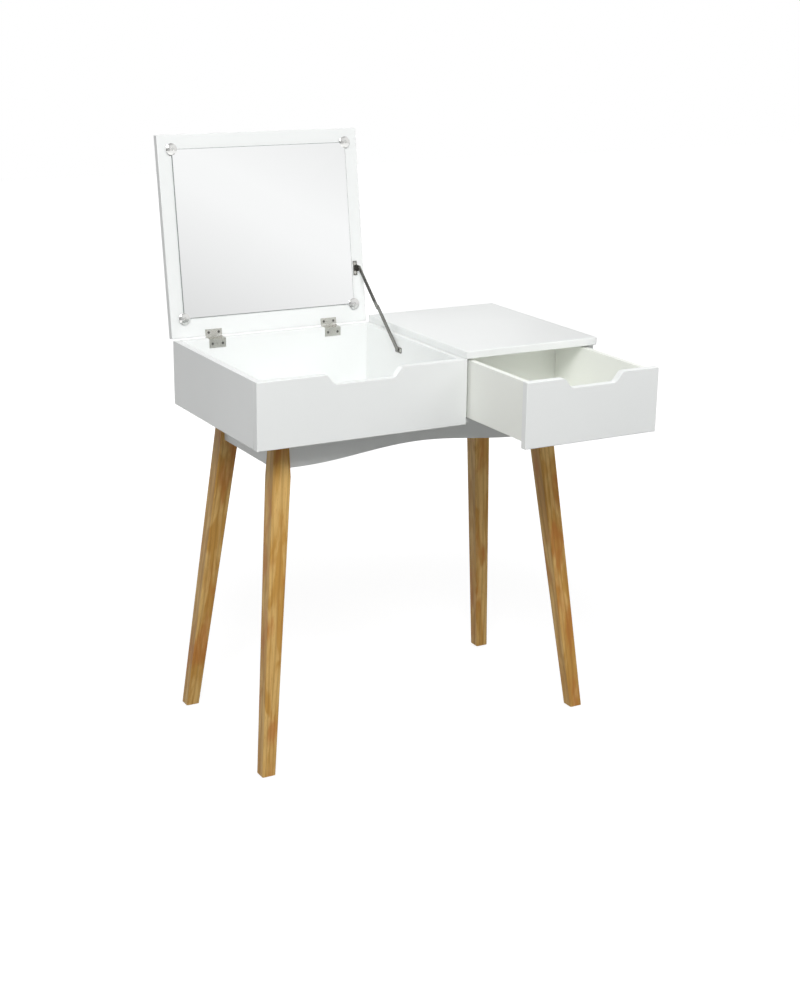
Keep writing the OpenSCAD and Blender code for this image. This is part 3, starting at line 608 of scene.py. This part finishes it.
def burnished_nickel_on_steel():
    """The stay's thin nickel over dark steel, worn smooth: darker than the hinges. On the hinges'
    pins and screws this darker nickel is painted shade, of the dark gap along the knuckle and of
    the shade that makes the screw heads read as dark dots.
    """
    look = bpy.context.scene.vanity_colours
    dull = dulled(look.burnished, 0.45)
    return metal("burnished_nickel_on_steel", look.burnished, dull, (0.16, 0.3), 2, 0.01)


def zinc_plated_steel():
    """Bright zinc on steel: a cool grey with dull clouds where it was passivated."""
    look = bpy.context.scene.vanity_colours
    dull = dulled(look.zinc, 0.7)
    return metal("zinc_plated_steel", look.zinc, dull, (0.3, 0.5), 4, 0.01)


def moulded_nylon():
    """Natural nylon from a spark-eroded mould: milky, with a fine matt texture."""
    look = bpy.context.scene.vanity_colours
    material, tree, shader = begin("moulded_nylon")
    at = add(tree, "ShaderNodeTexCoord").outputs["Object"]
    spark = add(tree, "ShaderNodeTexVoronoi", {"Vector": at, "Scale": per(0.7)})
    gloss = add(
        tree,
        "ShaderNodeMapRange",
        {"Value": spark.outputs["Distance"], "To Min": 0.45, "To Max": 0.6},
    )
    relief = add(
        tree,
        "ShaderNodeBump",
        {"Height": spark.outputs["Distance"], "Strength": 0.3, "Distance": 0.02 * MM},
    )
    shader.inputs["Base Color"].default_value = opaque(look.nylon)
    shader.inputs["IOR"].default_value = 1.53
    feed(tree, shader, Roughness=gloss.outputs["Result"], Normal=relief.outputs["Normal"])
    return material


def planed_beech():
    """Bare beech: pale and pinkish, with fine darker flecks."""
    look = bpy.context.scene.vanity_colours
    material, tree, shader = begin("planed_beech")
    at = add(tree, "ShaderNodeTexCoord").outputs["Object"]
    flecks = add(tree, "ShaderNodeTexNoise", {"Vector": at, "Scale": per(1.2), "Detail": 4})
    tint = add(
        tree,
        "ShaderNodeMix",
        {
            "Factor": flecks.outputs["Fac"],
            "A": opaque(look.beech),
            "B": opaque(dulled(look.beech, 0.75)),
        },
        data_type="RGBA",
    )
    shader.inputs["Roughness"].default_value = 0.7
    feed(tree, shader, Base_Color=tint.outputs[2])
    return material


FINISHES = {
    "white_lacquer": sprayed_lacquer_on_fibreboard,
    "box_lacquer": lacquer_of_the_drawer_box,
    "leg_wood": stained_rubberwood,
    "mirror_glass": silvered_float_glass,
    "glass_edge": ground_glass_edge,
    "chrome": chrome_plated_brass,
    "nickel": satin_nickel_on_steel,
    "stay_nickel": burnished_nickel_on_steel,
    "zinc_steel": zinc_plated_steel,
    "nylon": moulded_nylon,
    "dowel_beech": planed_beech,
}


def finish_of(slot):
    """The material of a slot, made the first time that it is asked for."""
    build = FINISHES[slot]
    return bpy.data.materials.get(build.__name__) or build()


# ------------------------------------------------------------------- making pieces


def copied(node):
    """A CAD node's mesh with its loose triangles merged into whole faces. The node's own
    mesh stays as it is."""
    bm = bmesh.new()
    bm.from_mesh(NODES[node].data)
    bmesh.ops.remove_doubles(bm, verts=bm.verts, dist=MERGE)
    bmesh.ops.dissolve_limit(bm, angle_limit=FLAT, verts=bm.verts, edges=bm.edges)
    return bm


def round_edges(bm, radius, sharper, blunter, shortest, segments=3):
    """Rounds the edges that turn by an angle between two limits. Edges shorter than
    shortest, such as those around screw holes, stay crisp."""
    chosen = [
        edge
        for edge in bm.edges
        if len(edge.link_faces) == 2
        and edge.calc_length() >= shortest
        and sharper < edge.calc_face_angle() < blunter
    ]
    bmesh.ops.bevel(
        bm,
        geom=chosen,
        offset=radius,
        affect="EDGES",
        segments=segments,
        profile=0.5,
        material=-1,
    )


def make_piece(bm, name, *nodes, finish=None, extra=()):
    """A finished piece that stands for CAD nodes and rides on their body. Its finish is
    that of its material slot, unless another is named."""
    mesh = bpy.data.meshes.new(name)
    bm.normal_update()
    bm.to_mesh(mesh)
    bm.free()
    mesh.polygons.foreach_set("use_smooth", [True] * len(mesh.polygons))
    mesh.set_sharp_from_angle(angle=CREASE)
    slot = SLOT_OF[nodes[0]]
    for layer in (finish or slot, *extra):
        mesh.materials.append(finish_of(layer))
    piece = bpy.data.objects.new(name, mesh)
    bpy.context.scene.collection.objects.link(piece)
    shading = piece.modifiers.new("even_shading", "WEIGHTED_NORMAL")
    shading.keep_sharp = True
    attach(piece, NODES[nodes[0]]["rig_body"])
    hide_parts(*nodes)
    return piece


def dress_board(node, shortest=3, finish=None):
    """A lacquered board with softened chamfers and edges, shortest in millimetres."""
    sizes = bpy.context.scene.vanity_sizes
    bm = copied(node)
    round_edges(bm, sizes.chamfer_edge, CHAMFER, CORNER, shortest * MM, segments=2)
    round_edges(bm, sizes.board_edge, CORNER, math.pi, shortest * MM)
    return make_piece(bm, "lacquered_" + node, node, finish=finish)


def dress_hardware(node, prefix, radius, shortest=0.5, finish=None):
    """A metal or nylon piece with its edges rounded, shortest in millimetres."""
    bm = copied(node)
    round_edges(bm, radius, CORNER, math.pi, shortest * MM)
    return make_piece(bm, prefix + node, node, finish=finish)


def islands(bm):
    """The separate solids of a merged mesh, each as its list of points."""
    seen = set()
    found = []
    for seed in bm.verts:
        if seed in seen:
            continue
        seen.add(seed)
        island = [seed]
        for vert in island:
            for edge in vert.link_edges:
                other = edge.other_vert(vert)
                if other not in seen:
                    seen.add(other)
                    island.append(other)
        found.append([Vector(vert.co) for vert in island])
    return found


def measured_screw(points):
    """A CAD screw's own sizes: where its head seats, its axis towards the tip, its head's
    radius and crown, its shank's radius, the depth of its cone and its length."""
    cloud = np.array(points)
    middle = cloud.mean(0)
    axis = np.linalg.eigh(np.cov((cloud - middle).T))[1][:, -1]
    along = (cloud - middle) @ axis
    across = np.linalg.norm(cloud - middle - np.outer(along, axis), axis=1)
    if along[across.argmax()] > 0:
        axis, along = -axis, -along
    widest = across > across.max() - HEAD_BAND
    seat = along[widest].mean()
    end = along.max()
    shank = across[(along > seat + SHANK_FROM * (end - seat)) & (across > OFF_AXIS)]
    shank_r = float(shank.min())
    neck = along[abs(across - shank_r) < SHANK_BAND].min()
    return {
        "seat": Vector(middle + axis * seat),
        "axis": Vector(axis),
        "head_r": float(across.max()),
        "crown": float(seat - along.min()),
        "shank_r": shank_r,
        "cone": float(neck - seat),
        "length": float(end - seat),
    }


def turned(profile, steps, closed=False):
    """A bmesh that is spun about z from a profile of radii and heights."""
    bm = bmesh.new()
    chain = [bm.verts.new((r, 0, z)) for r, z in profile]
    ends = chain[1:] + chain[:1] if closed else chain[1:]
    links = [bm.edges.new(pair) for pair in zip(chain, ends)]
    bmesh.ops.spin(
        bm,
        geom=chain + links,
        cent=(0, 0, 0),
        axis=(0, 0, 1),
        angle=2 * math.pi,
        steps=steps,
        use_merge=True,
    )
    return bm


def join(bm, new):
    """Adds a finished bmesh to another one, and frees it."""
    mesh = bpy.data.meshes.new("joined")
    new.to_mesh(mesh)
    new.free()
    bm.from_mesh(mesh)
    bpy.data.meshes.remove(mesh)


def add_screw(bm, screw, turn):
    """Adds a cross-head screw: its sides are spun from a profile, its crown is filled
    around the cross, and the cross is pulled down into a tapering recess."""
    sizes = bpy.context.scene.vanity_sizes
    head_r, crown = screw["head_r"], screw["crown"]

    def dome(r):
        if crown < FLAT_CROWN:
            return 0
        ball = (head_r**2 + crown**2) / (2 * crown)
        return ball - crown - math.sqrt(ball**2 - r**2)

    arm_r, arm_w = CROSS_REACH * head_r, CROSS_WIDTH * head_r
    profile = [(share * head_r, dome(share * head_r)) for share in (CROSS_RING, *HEAD_RINGS)]
    profile += [(head_r, HEAD_EDGE * head_r), (screw["shank_r"], max(screw["cone"], 0))]
    profile += [(screw["shank_r"], screw["length"] - screw["shank_r"]), (0, screw["length"])]
    new = turned(profile, sizes.spin_steps)
    bmesh.ops.remove_doubles(new, verts=new.verts, dist=MERGE)
    rim = [edge for edge in new.edges if len(edge.link_faces) == 1]
    outline = []
    for quarter in range(4):
        to = Matrix.Rotation(quarter * math.pi / 2, 3, "Z")
        for x, y in ((arm_w, arm_w), (arm_r, arm_w), (arm_r, -arm_w)):
            corner = to @ Vector((x, y, 0))
            outline.append(new.verts.new((corner.x, corner.y, dome(corner.length))))
    # The corners of a quarter run clockwise, so they are put in order of their angle
    outline.sort(key=lambda vert: math.atan2(vert.co.y, vert.co.x))
    cross = [new.edges.new(pair) for pair in zip(outline, outline[1:] + outline[:1])]
    bmesh.ops.triangle_fill(new, use_beauty=True, edges=rim + cross, normal=(0, 0, -1))
    walls = bmesh.ops.extrude_edge_only(new, edges=cross)["geom"]
    low = [item for item in walls if isinstance(item, bmesh.types.BMVert)]
    bmesh.ops.scale(new, vec=(RECESS_TAPER, RECESS_TAPER, 1), verts=low)
    bmesh.ops.translate(new, vec=(0, 0, sizes.recess_deep), verts=low)
    floor = [item for item in walls if isinstance(item, bmesh.types.BMEdge)]
    bmesh.ops.contextual_create(new, geom=floor)
    bmesh.ops.recalc_face_normals(new, faces=new.faces)
    lean = screw["axis"].to_track_quat("Z", "Y").to_matrix().to_4x4()
    place = Matrix.Translation(screw["seat"]) @ lean @ Matrix.Rotation(turn, 4, "Z")
    bmesh.ops.transform(new, matrix=place, verts=new.verts)
    join(bm, new)


def dress_screws(node, prefix, finish=None):
    """Cross-head screws where the CAD node has its plain ones, each at its own turn."""
    plain = copied(node)
    bm = bmesh.new()
    for index, points in enumerate(islands(plain)):
        add_screw(bm, measured_screw(points), math.radians(SCREW_TURN * index))
    plain.free()
    return make_piece(bm, prefix + node, node, finish=finish)


def shut_lid(points):
    """Takes points of the open lid to where they lie on the shut one."""
    back = Matrix.Rotation(LID_OPEN, 4, "X")
    return [back @ (point - LID_PIN) + LID_PIN for point in points]


def open_lid():
    """The matrix that swings pieces of the shut lid open."""
    pin = Matrix.Translation(LID_PIN)
    return pin @ Matrix.Rotation(-LID_OPEN, 4, "X") @ pin.inverted()


class VanityOperator:
    """What the operators share."""

    bl_options = {"REGISTER", "UNDO"}


class VANITY_OT_cabinet(VanityOperator, bpy.types.Operator):
    """Dress the cabinet's lacquered boards"""

    bl_idname = "vanity.cabinet"
    bl_label = "Cabinet boards"

    def execute(self, context):
        for node in (
            "left_side_panel",
            "right_side_panel",
            "partition",
            "back_panel",
            "bottom_board",
            "fixed_top",
        ):
            dress_board(node)
        dress_board("compartment_front", shortest=1)
        return {"FINISHED"}


class VANITY_OT_aprons(VanityOperator, bpy.types.Operator):
    """Dress the four aprons under the cabinet"""

    bl_idname = "vanity.aprons"
    bl_label = "Aprons"

    def execute(self, context):
        for node in ("front_apron", "rear_apron", "left_apron", "right_apron"):
            dress_board(node)
        return {"FINISHED"}


class VANITY_OT_legs(VanityOperator, bpy.types.Operator):
    """Dress the four splayed legs, each with its own grain along its lean"""

    bl_idname = "vanity.legs"
    bl_label = "Legs"

    def execute(self, context):
        sizes = context.scene.vanity_sizes
        legs = ("leg_front_left", "leg_front_right", "leg_rear_left", "leg_rear_right")
        for index, node in enumerate(legs):
            bm = copied(node)
            low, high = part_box(node)
            foot = [v.co.copy() for v in bm.verts if v.co.z < low.z + MM]
            head = [v.co.copy() for v in bm.verts if v.co.z > high.z - MM]
            start = sum(foot, Vector()) / len(foot)
            run = sum(head, Vector()) / len(head) - start
            round_edges(bm, sizes.leg_edge, CHAMFER, CORNER, LEG_SHORTEST)
            round_edges(bm, sizes.board_edge, CORNER, math.pi, LEG_SHORTEST)
            grain = bm.verts.layers.float_vector.new("grain")
            # Each leg shows its own part of the pattern, as if cut from its own plank
            own_part = PLANK_STEP * (index + 1)
            for vert in bm.verts:
                middle = start + run * ((vert.co.z - start.z) / run.z)
                along = Vector((0, 0, vert.co.z))
                vert[grain] = vert.co - middle + along + own_part
            make_piece(bm, "stained_" + node, node)
        return {"FINISHED"}


class VANITY_OT_glides(VanityOperator, bpy.types.Operator):
    """Dress the nylon glides and the drawer's guide shoe"""

    bl_idname = "vanity.glides"
    bl_label = "Glides"

    def execute(self, context):
        radius = context.scene.vanity_sizes.nylon_edge
        for node in ("foot_glides", "drawer_glide_pads", "drawer_guide_shoe"):
            dress_hardware(node, "moulded_", radius)
        return {"FINISHED"}


class VANITY_OT_fittings(VanityOperator, bpy.types.Operator):
    """Dress the zinc plated corner plates, bolts, nuts, brackets, rail and their screws"""

    bl_idname = "vanity.fittings"
    bl_label = "Zinc fittings"

    def execute(self, context):
        radius = context.scene.vanity_sizes.metal_edge
        for node in (
            "corner_plates",
            "hanger_bolts",
            "bolt_nuts",
            "apron_brackets",
            "drawer_rail",
        ):
            dress_hardware(node, "zinc_", radius)
        for node in (
            "corner_plate_screws",
            "apron_bracket_screws",
            "drawer_rail_screws",
            "drawer_shoe_screws",
        ):
            dress_screws(node, "zinc_")
        return {"FINISHED"}


class VANITY_OT_dowels(VanityOperator, bpy.types.Operator):
    """Give the hidden dowels their beech"""

    bl_idname = "vanity.dowels"
    bl_label = "Dowels"

    def execute(self, context):
        for node in ("case_dowels", "drawer_dowels"):
            NODES[node].data.materials.clear()
            NODES[node].data.materials.append(finish_of("dowel_beech"))
        return {"FINISHED"}


class VANITY_OT_drawer(VanityOperator, bpy.types.Operator):
    """Dress the drawer's lacquered boards"""

    bl_idname = "vanity.drawer"
    bl_label = "Drawer boards"

    def execute(self, context):
        for node in ("drawer_side_left", "drawer_side_right", "drawer_back", "drawer_bottom"):
            # The drawer box takes the brighter, warmer lacquer, which paints light on its sides
            # and warm shade inside it
            dress_board(node, finish="box_lacquer")
        dress_board("drawer_front", shortest=1)
        return {"FINISHED"}


class VANITY_OT_lid(VanityOperator, bpy.types.Operator):
    """Dress the lid's board"""

    bl_idname = "vanity.lid"
    bl_label = "Lid board"

    def execute(self, context):
        dress_board("lid_panel")
        return {"FINISHED"}


class VANITY_OT_mirror(VanityOperator, bpy.types.Operator):
    """Dress the mirror with a ground arris around its silvered face"""

    bl_idname = "vanity.mirror"
    bl_label = "Mirror"

    def execute(self, context):
        bm = copied("mirror_glass")
        out = open_lid().to_3x3() @ Vector((0, 0, -1))
        bm.normal_update()
        front = {face for face in bm.faces if face.normal.dot(out) > FACING}
        rim = [
            edge
            for edge in bm.edges
            if front.intersection(edge.link_faces) and edge.calc_face_angle(0) > CORNER
        ]
        bmesh.ops.bevel(
            bm,
            geom=rim,
            offset=context.scene.vanity_sizes.glass_arris / math.sqrt(2),
            affect="EDGES",
            segments=1,
            profile=0.5,
            material=-1,
        )
        bm.normal_update()
        for face in bm.faces:
            face.material_index = 0 if face.normal.dot(out) > FACING else 1
        make_piece(bm, "silvered_mirror_glass", "mirror_glass", extra=("glass_edge",))
        return {"FINISHED"}


class VANITY_OT_clips(VanityOperator, bpy.types.Operator):
    """Turn the chrome clips that hold the mirror's corners, and their screws"""

    bl_idname = "vanity.clips"
    bl_label = "Mirror clips"

    def execute(self, context):
        sizes = context.scene.vanity_sizes
        rim = sizes.clip_rim
        plain = copied("mirror_clips")
        screws = copied("mirror_clip_screws")
        glass = [Vector(v.co) for v in NODES["mirror_glass"].data.vertices]
        glass_z = min(p.z for p in shut_lid(glass))
        hole = max(measured_screw(p)["head_r"] for p in islands(screws)) + CLIP_PLAY
        screws.free()
        bm = bmesh.new()
        for points in islands(plain):
            flat = shut_lid(points)
            low = Vector([min(p[i] for p in flat) for i in range(3)])
            high = Vector([max(p[i] for p in flat) for i in range(3)])
            middle = (low + high) / 2
            boss = max((p - middle).to_2d().length for p in flat if p.z > glass_z + MM)
            radius = (high.x - low.x) / 2
            rise = glass_z - rim - low.z
            ball = (radius**2 + rise**2) / (2 * rise)
            profile = [(radius, glass_z), (radius, glass_z - rim)]
            for share in CLIP_RINGS:
                r = share * radius
                profile.append((r, glass_z - rim - (math.sqrt(ball**2 - r**2) - ball + rise)))
            profile += [(hole, low.z), (hole, low.z + CLIP_SEAT), (CLIP_BORE, low.z + CLIP_CONE)]
            profile += [(CLIP_BORE, high.z), (boss, high.z), (boss, glass_z)]
            new = turned(profile, 2 * sizes.spin_steps, closed=True)
            bmesh.ops.recalc_face_normals(new, faces=new.faces)
            place = open_lid() @ Matrix.Translation((middle.x, middle.y, 0))
            bmesh.ops.transform(new, matrix=place, verts=new.verts)
            join(bm, new)
        plain.free()
        make_piece(bm, "chromed_mirror_clips", "mirror_clips")
        dress_screws("mirror_clip_screws", "chromed_")
        return {"FINISHED"}


class VANITY_OT_hinges(VanityOperator, bpy.types.Operator):
    """Dress the lid's two hinges and their screws"""

    bl_idname = "vanity.hinges"
    bl_label = "Hinges"

    def execute(self, context):
        radius = context.scene.vanity_sizes.metal_edge
        for node in (
            "hinge_fixed_leaf_left",
            "hinge_fixed_leaf_right",
            "hinge_lid_leaf_left",
            "hinge_lid_leaf_right",
        ):
            dress_hardware(node, "nickel_", radius, shortest=0.6)
        # The pins and screws take the darker nickel, which paints the shade in the knuckle's gap
        # and around the screw heads
        dress_hardware("hinge_pins", "nickel_", radius, shortest=0.6, finish="stay_nickel")
        for node in ("hinge_screws_cabinet", "hinge_screws_lid"):
            dress_screws(node, "nickel_", finish="stay_nickel")
        return {"FINISHED"}


class VANITY_OT_stay(VanityOperator, bpy.types.Operator):
    """Dress the lid's folding stay, its plates, rivets and screws"""

    bl_idname = "vanity.stay"
    bl_label = "Lid stay"

    def execute(self, context):
        radius = context.scene.vanity_sizes.metal_edge
        for node in (
            "stay_base_plate",
            "stay_lid_bracket",
            "stay_lower_link",
            "stay_upper_link",
            "stay_base_rivet",
            "stay_lid_rivet",
        ):
            piece = dress_hardware(node, "nickel_", radius, shortest=0.4, finish="stay_nickel")
            # The mirror shows an even room, without the arm in front of its corner
            piece.visible_glossy = node.endswith(("plate", "bracket"))
        for node in ("stay_base_screws", "stay_lid_screws"):
            dress_screws(node, "nickel_")
        return {"FINISHED"}


# ------------------------------------------------------------------- studio


def grey(level):
    """An even grey of that brightness, with its alpha."""
    return (level, level, level, 1)


def studio_floor_paint():
    """Matt paper of a studio sweep. To the camera, and in mirror and metal, it is the
    white of the background with the table's soft shadow on it."""
    material = bpy.data.materials.new("matt_sweep_paper")
    material.use_nodes = True
    tree = material.node_tree
    tree.nodes.clear()
    rays = add(tree, "ShaderNodeLightPath")
    seen = add(
        tree,
        "ShaderNodeMath",
        {0: rays.outputs["Is Camera Ray"], 1: rays.outputs["Is Glossy Ray"]},
        operation="MAXIMUM",
    )
    seen = add(
        tree,
        "ShaderNodeMath",
        {0: seen.outputs[0], 1: rays.outputs["Is Transmission Ray"]},
        operation="MAXIMUM",
    )
    colour = bpy.context.scene.vanity_colours.floor
    paper = add(tree, "ShaderNodeBsdfDiffuse", {"Color": opaque(colour)})
    # Near the table lamp light adds what the glow lacks to white, so that shadows show.
    # Further out, where the lamps fall off, it is all glow.
    spot = add(tree, "ShaderNodeTexCoord").outputs["Object"]
    reach = add(tree, "ShaderNodeVectorMath", {0: spot}, operation="LENGTH")
    fade = add(
        tree,
        "ShaderNodeMapRange",
        {
            "Value": reach.outputs["Value"],
            "From Min": 0.7,
            "From Max": 2.2,
            "To Min": PAPER_GLOW,
        },
        interpolation_type="SMOOTHSTEP",
    )
    glow = add(tree, "ShaderNodeEmission", {"Strength": fade.outputs["Result"]})
    shade = add(tree, "ShaderNodeBsdfDiffuse", {"Color": grey(PAPER_LIT)})
    white = add(
        tree, "ShaderNodeAddShader", {0: glow.outputs["Emission"], 1: shade.outputs["BSDF"]}
    )
    mixed = add(
        tree,
        "ShaderNodeMixShader",
        {0: seen.outputs[0], 1: paper.outputs["BSDF"], 2: white.outputs["Shader"]},
    )
    add(tree, "ShaderNodeOutputMaterial", {"Surface": mixed.outputs["Shader"]})
    return material


def studio_sky(world):
    """An even light all round. The camera sees plain white. Metal and mirror see a white
    room with a soft diagonal fall of light in front, and a darker wall at the left, whose
    foot melts into the floor."""
    world.use_nodes = True
    tree = world.node_tree
    tree.nodes.clear()
    rays = add(tree, "ShaderNodeLightPath")
    shiny = add(
        tree,
        "ShaderNodeMath",
        {0: rays.outputs["Is Glossy Ray"], 1: rays.outputs["Is Transmission Ray"]},
        operation="MAXIMUM",
    )
    towards = add(tree, "ShaderNodeTexCoord").outputs["Generated"]
    along = add(tree, "ShaderNodeSeparateXYZ", {"Vector": towards})
    diagonal = add(
        tree, "ShaderNodeVectorMath", {0: towards, 1: FALL_SLANT}, operation="DOT_PRODUCT"
    )
    front = add(tree, "ShaderNodeValToRGB", {"Fac": diagonal.outputs["Value"]})
    stops = front.color_ramp.elements
    stops[0].position, stops[0].color = 0, grey(FALL_FOOT)
    stops[1].position, stops[1].color = 1, grey(FALL_TOP)
    for position, level in FALL_OF_LIGHT:
        stops.new(position).color = grey(level)
    # The wall at the left is the darkest, and the ceiling has half of the light
    side = add(
        tree,
        "ShaderNodeMapRange",
        {"Value": along.outputs["X"], "From Min": -0.9, "From Max": 0.1, "To Min": 0.08},
        interpolation_type="SMOOTHSTEP",
    )
    above = add(
        tree,
        "ShaderNodeMapRange",
        {
            "Value": along.outputs["Z"],
            "From Min": 0.55,
            "From Max": 0.8,
            "To Min": 1,
            "To Max": 0.5,
        },
        interpolation_type="SMOOTHSTEP",
    )
    dim = add(
        tree,
        "ShaderNodeMath",
        {0: side.outputs["Result"], 1: above.outputs["Result"]},
        operation="MULTIPLY",
    )
    room = add(
        tree,
        "ShaderNodeVectorMath",
        {0: front.outputs["Color"], 1: dim.outputs["Value"]},
        operation="MULTIPLY",
    )
    # Below its horizon the room is white, as the floor is
    horizon = add(
        tree,
        "ShaderNodeMapRange",
        {
            "Value": along.outputs["Z"],
            "From Min": -0.08,
            "From Max": 0.03,
            "To Min": 1,
            "To Max": 0,
        },
        interpolation_type="SMOOTHSTEP",
    )
    room = add(
        tree,
        "ShaderNodeVectorMath",
        {0: room.outputs["Vector"], 1: horizon.outputs["Result"]},
        operation="MAXIMUM",
    )
    even = add(
        tree,
        "ShaderNodeBackground",
        {"Strength": bpy.context.scene.vanity_studio.ambient},
    )
    shown = add(tree, "ShaderNodeBackground", {"Color": room.outputs["Vector"]})
    white = add(tree, "ShaderNodeBackground", {"Color": grey(1), "Strength": 1})
    lit = add(
        tree,
        "ShaderNodeMixShader",
        {0: shiny.outputs[0], 1: even.outputs[0], 2: shown.outputs[0]},
    )
    final = add(
        tree,
        "ShaderNodeMixShader",
        {0: rays.outputs["Is Camera Ray"], 1: lit.outputs[0], 2: white.outputs[0]},
    )
    add(tree, "ShaderNodeOutputWorld", {"Surface": final.outputs[0]})


def add_lamp(name, power, size, turn, rise, reach):
    """A square soft lamp that looks at the table. It stands reach away, at a turn from
    straight in front towards the right and at a rise above level, in degrees."""
    lamp = bpy.data.lights.new(name, "AREA")
    lamp.energy, lamp.shape, lamp.size = power, "SQUARE", size
    obj = bpy.data.objects.new(name, lamp)
    bpy.context.scene.collection.objects.link(obj)
    turn, rise = math.radians(turn), math.radians(rise)
    towards = Vector(
        (math.sin(turn) * math.cos(rise), -math.cos(turn) * math.cos(rise), math.sin(rise))
    )
    obj.location = LAMPS_AIM + reach * towards
    obj.rotation_euler = towards.to_track_quat("Z", "Y").to_euler()
    return obj


class VANITY_OT_stage(VanityOperator, bpy.types.Operator):
    """Build the studio: floor, soft lamps, even background and the camera"""

    bl_idname = "vanity.stage"
    bl_label = "Studio"

    def execute(self, context):
        studio = context.scene.vanity_studio
        bm = bmesh.new()
        bmesh.ops.create_grid(bm, x_segments=1, y_segments=1, size=FLOOR_REACH)
        mesh = bpy.data.meshes.new("studio_floor")
        bm.to_mesh(mesh)
        bm.free()
        mesh.materials.append(studio_floor_paint())
        floor = bpy.data.objects.new("studio_floor", mesh)
        context.scene.collection.objects.link(floor)
        world = bpy.data.worlds.new("studio")
        context.scene.world = world
        studio_sky(world)
        for name, stand in SOFTBOXES.items():
            power = getattr(studio, name + "_power")
            lamp = add_lamp(name + "_softbox", power, **stand)
            lamp.visible_glossy = name in SHOWN_IN_MIRROR
        lens = bpy.data.cameras.new("camera")
        lens.sensor_fit, lens.sensor_height = "VERTICAL", SENSOR_HEIGHT
        lens.lens = studio.lens
        lens.clip_end = VIEW_END
        camera = bpy.data.objects.new("camera", lens)
        context.scene.collection.objects.link(camera)
        facing = (
            Matrix.Rotation(studio.turn, 4, "Z")
            @ Matrix.Rotation(math.pi / 2 - studio.rise, 4, "X")
            @ Matrix.Rotation(studio.roll, 4, "Z")
        )
        camera.matrix_world = Matrix.Translation(studio.place) @ facing
        context.scene.camera = camera
        context.scene.view_settings.view_transform = "Standard"
        return {"FINISHED"}


class VANITY_PT_sidebar(bpy.types.Panel):
    """Sizes, colours and studio of the vanity table, and its operators"""

    bl_idname = "VANITY_PT_sidebar"
    bl_label = "Vanity table"
    bl_space_type = "VIEW_3D"
    bl_region_type = "UI"
    bl_category = "Vanity"

    def draw(self, context):
        scene = context.scene
        for group in (scene.vanity_sizes, scene.vanity_colours, scene.vanity_studio):
            box = self.layout.box()
            for name in group.bl_rna.properties.keys():
                if name not in ("rna_type", "name"):
                    box.prop(group, name)
        column = self.layout.column(align=True)
        for operator in OPERATORS:
            column.operator(operator.bl_idname)


OPERATORS = (
    VANITY_OT_cabinet,
    VANITY_OT_aprons,
    VANITY_OT_legs,
    VANITY_OT_glides,
    VANITY_OT_fittings,
    VANITY_OT_dowels,
    VANITY_OT_drawer,
    VANITY_OT_lid,
    VANITY_OT_mirror,
    VANITY_OT_clips,
    VANITY_OT_hinges,
    VANITY_OT_stay,
    VANITY_OT_stage,
)
CLASSES = (VanitySizes, VanityColours, VanityStudio, *OPERATORS, VANITY_PT_sidebar)


def register():
    """Makes the classes known, and gives the scene its three groups of settings."""
    for cls in CLASSES:
        bpy.utils.register_class(cls)
    bpy.types.Scene.vanity_sizes = PointerProperty(type=VanitySizes)
    bpy.types.Scene.vanity_colours = PointerProperty(type=VanityColours)
    bpy.types.Scene.vanity_studio = PointerProperty(type=VanityStudio)


def unregister():
    """Takes away what register added."""
    for group in ("vanity_sizes", "vanity_colours", "vanity_studio"):
        delattr(bpy.types.Scene, group)
    for cls in reversed(CLASSES):
        bpy.utils.unregister_class(cls)


def main():
    """Builds the dressed table and its studio."""
    register()
    bpy.ops.vanity.cabinet()
    bpy.ops.vanity.aprons()
    bpy.ops.vanity.legs()
    bpy.ops.vanity.glides()
    bpy.ops.vanity.fittings()
    bpy.ops.vanity.dowels()
    bpy.ops.vanity.drawer()
    bpy.ops.vanity.lid()
    bpy.ops.vanity.mirror()
    bpy.ops.vanity.clips()
    bpy.ops.vanity.hinges()
    bpy.ops.vanity.stay()
    bpy.ops.vanity.stage()


if __name__ == "__main__":
    main()
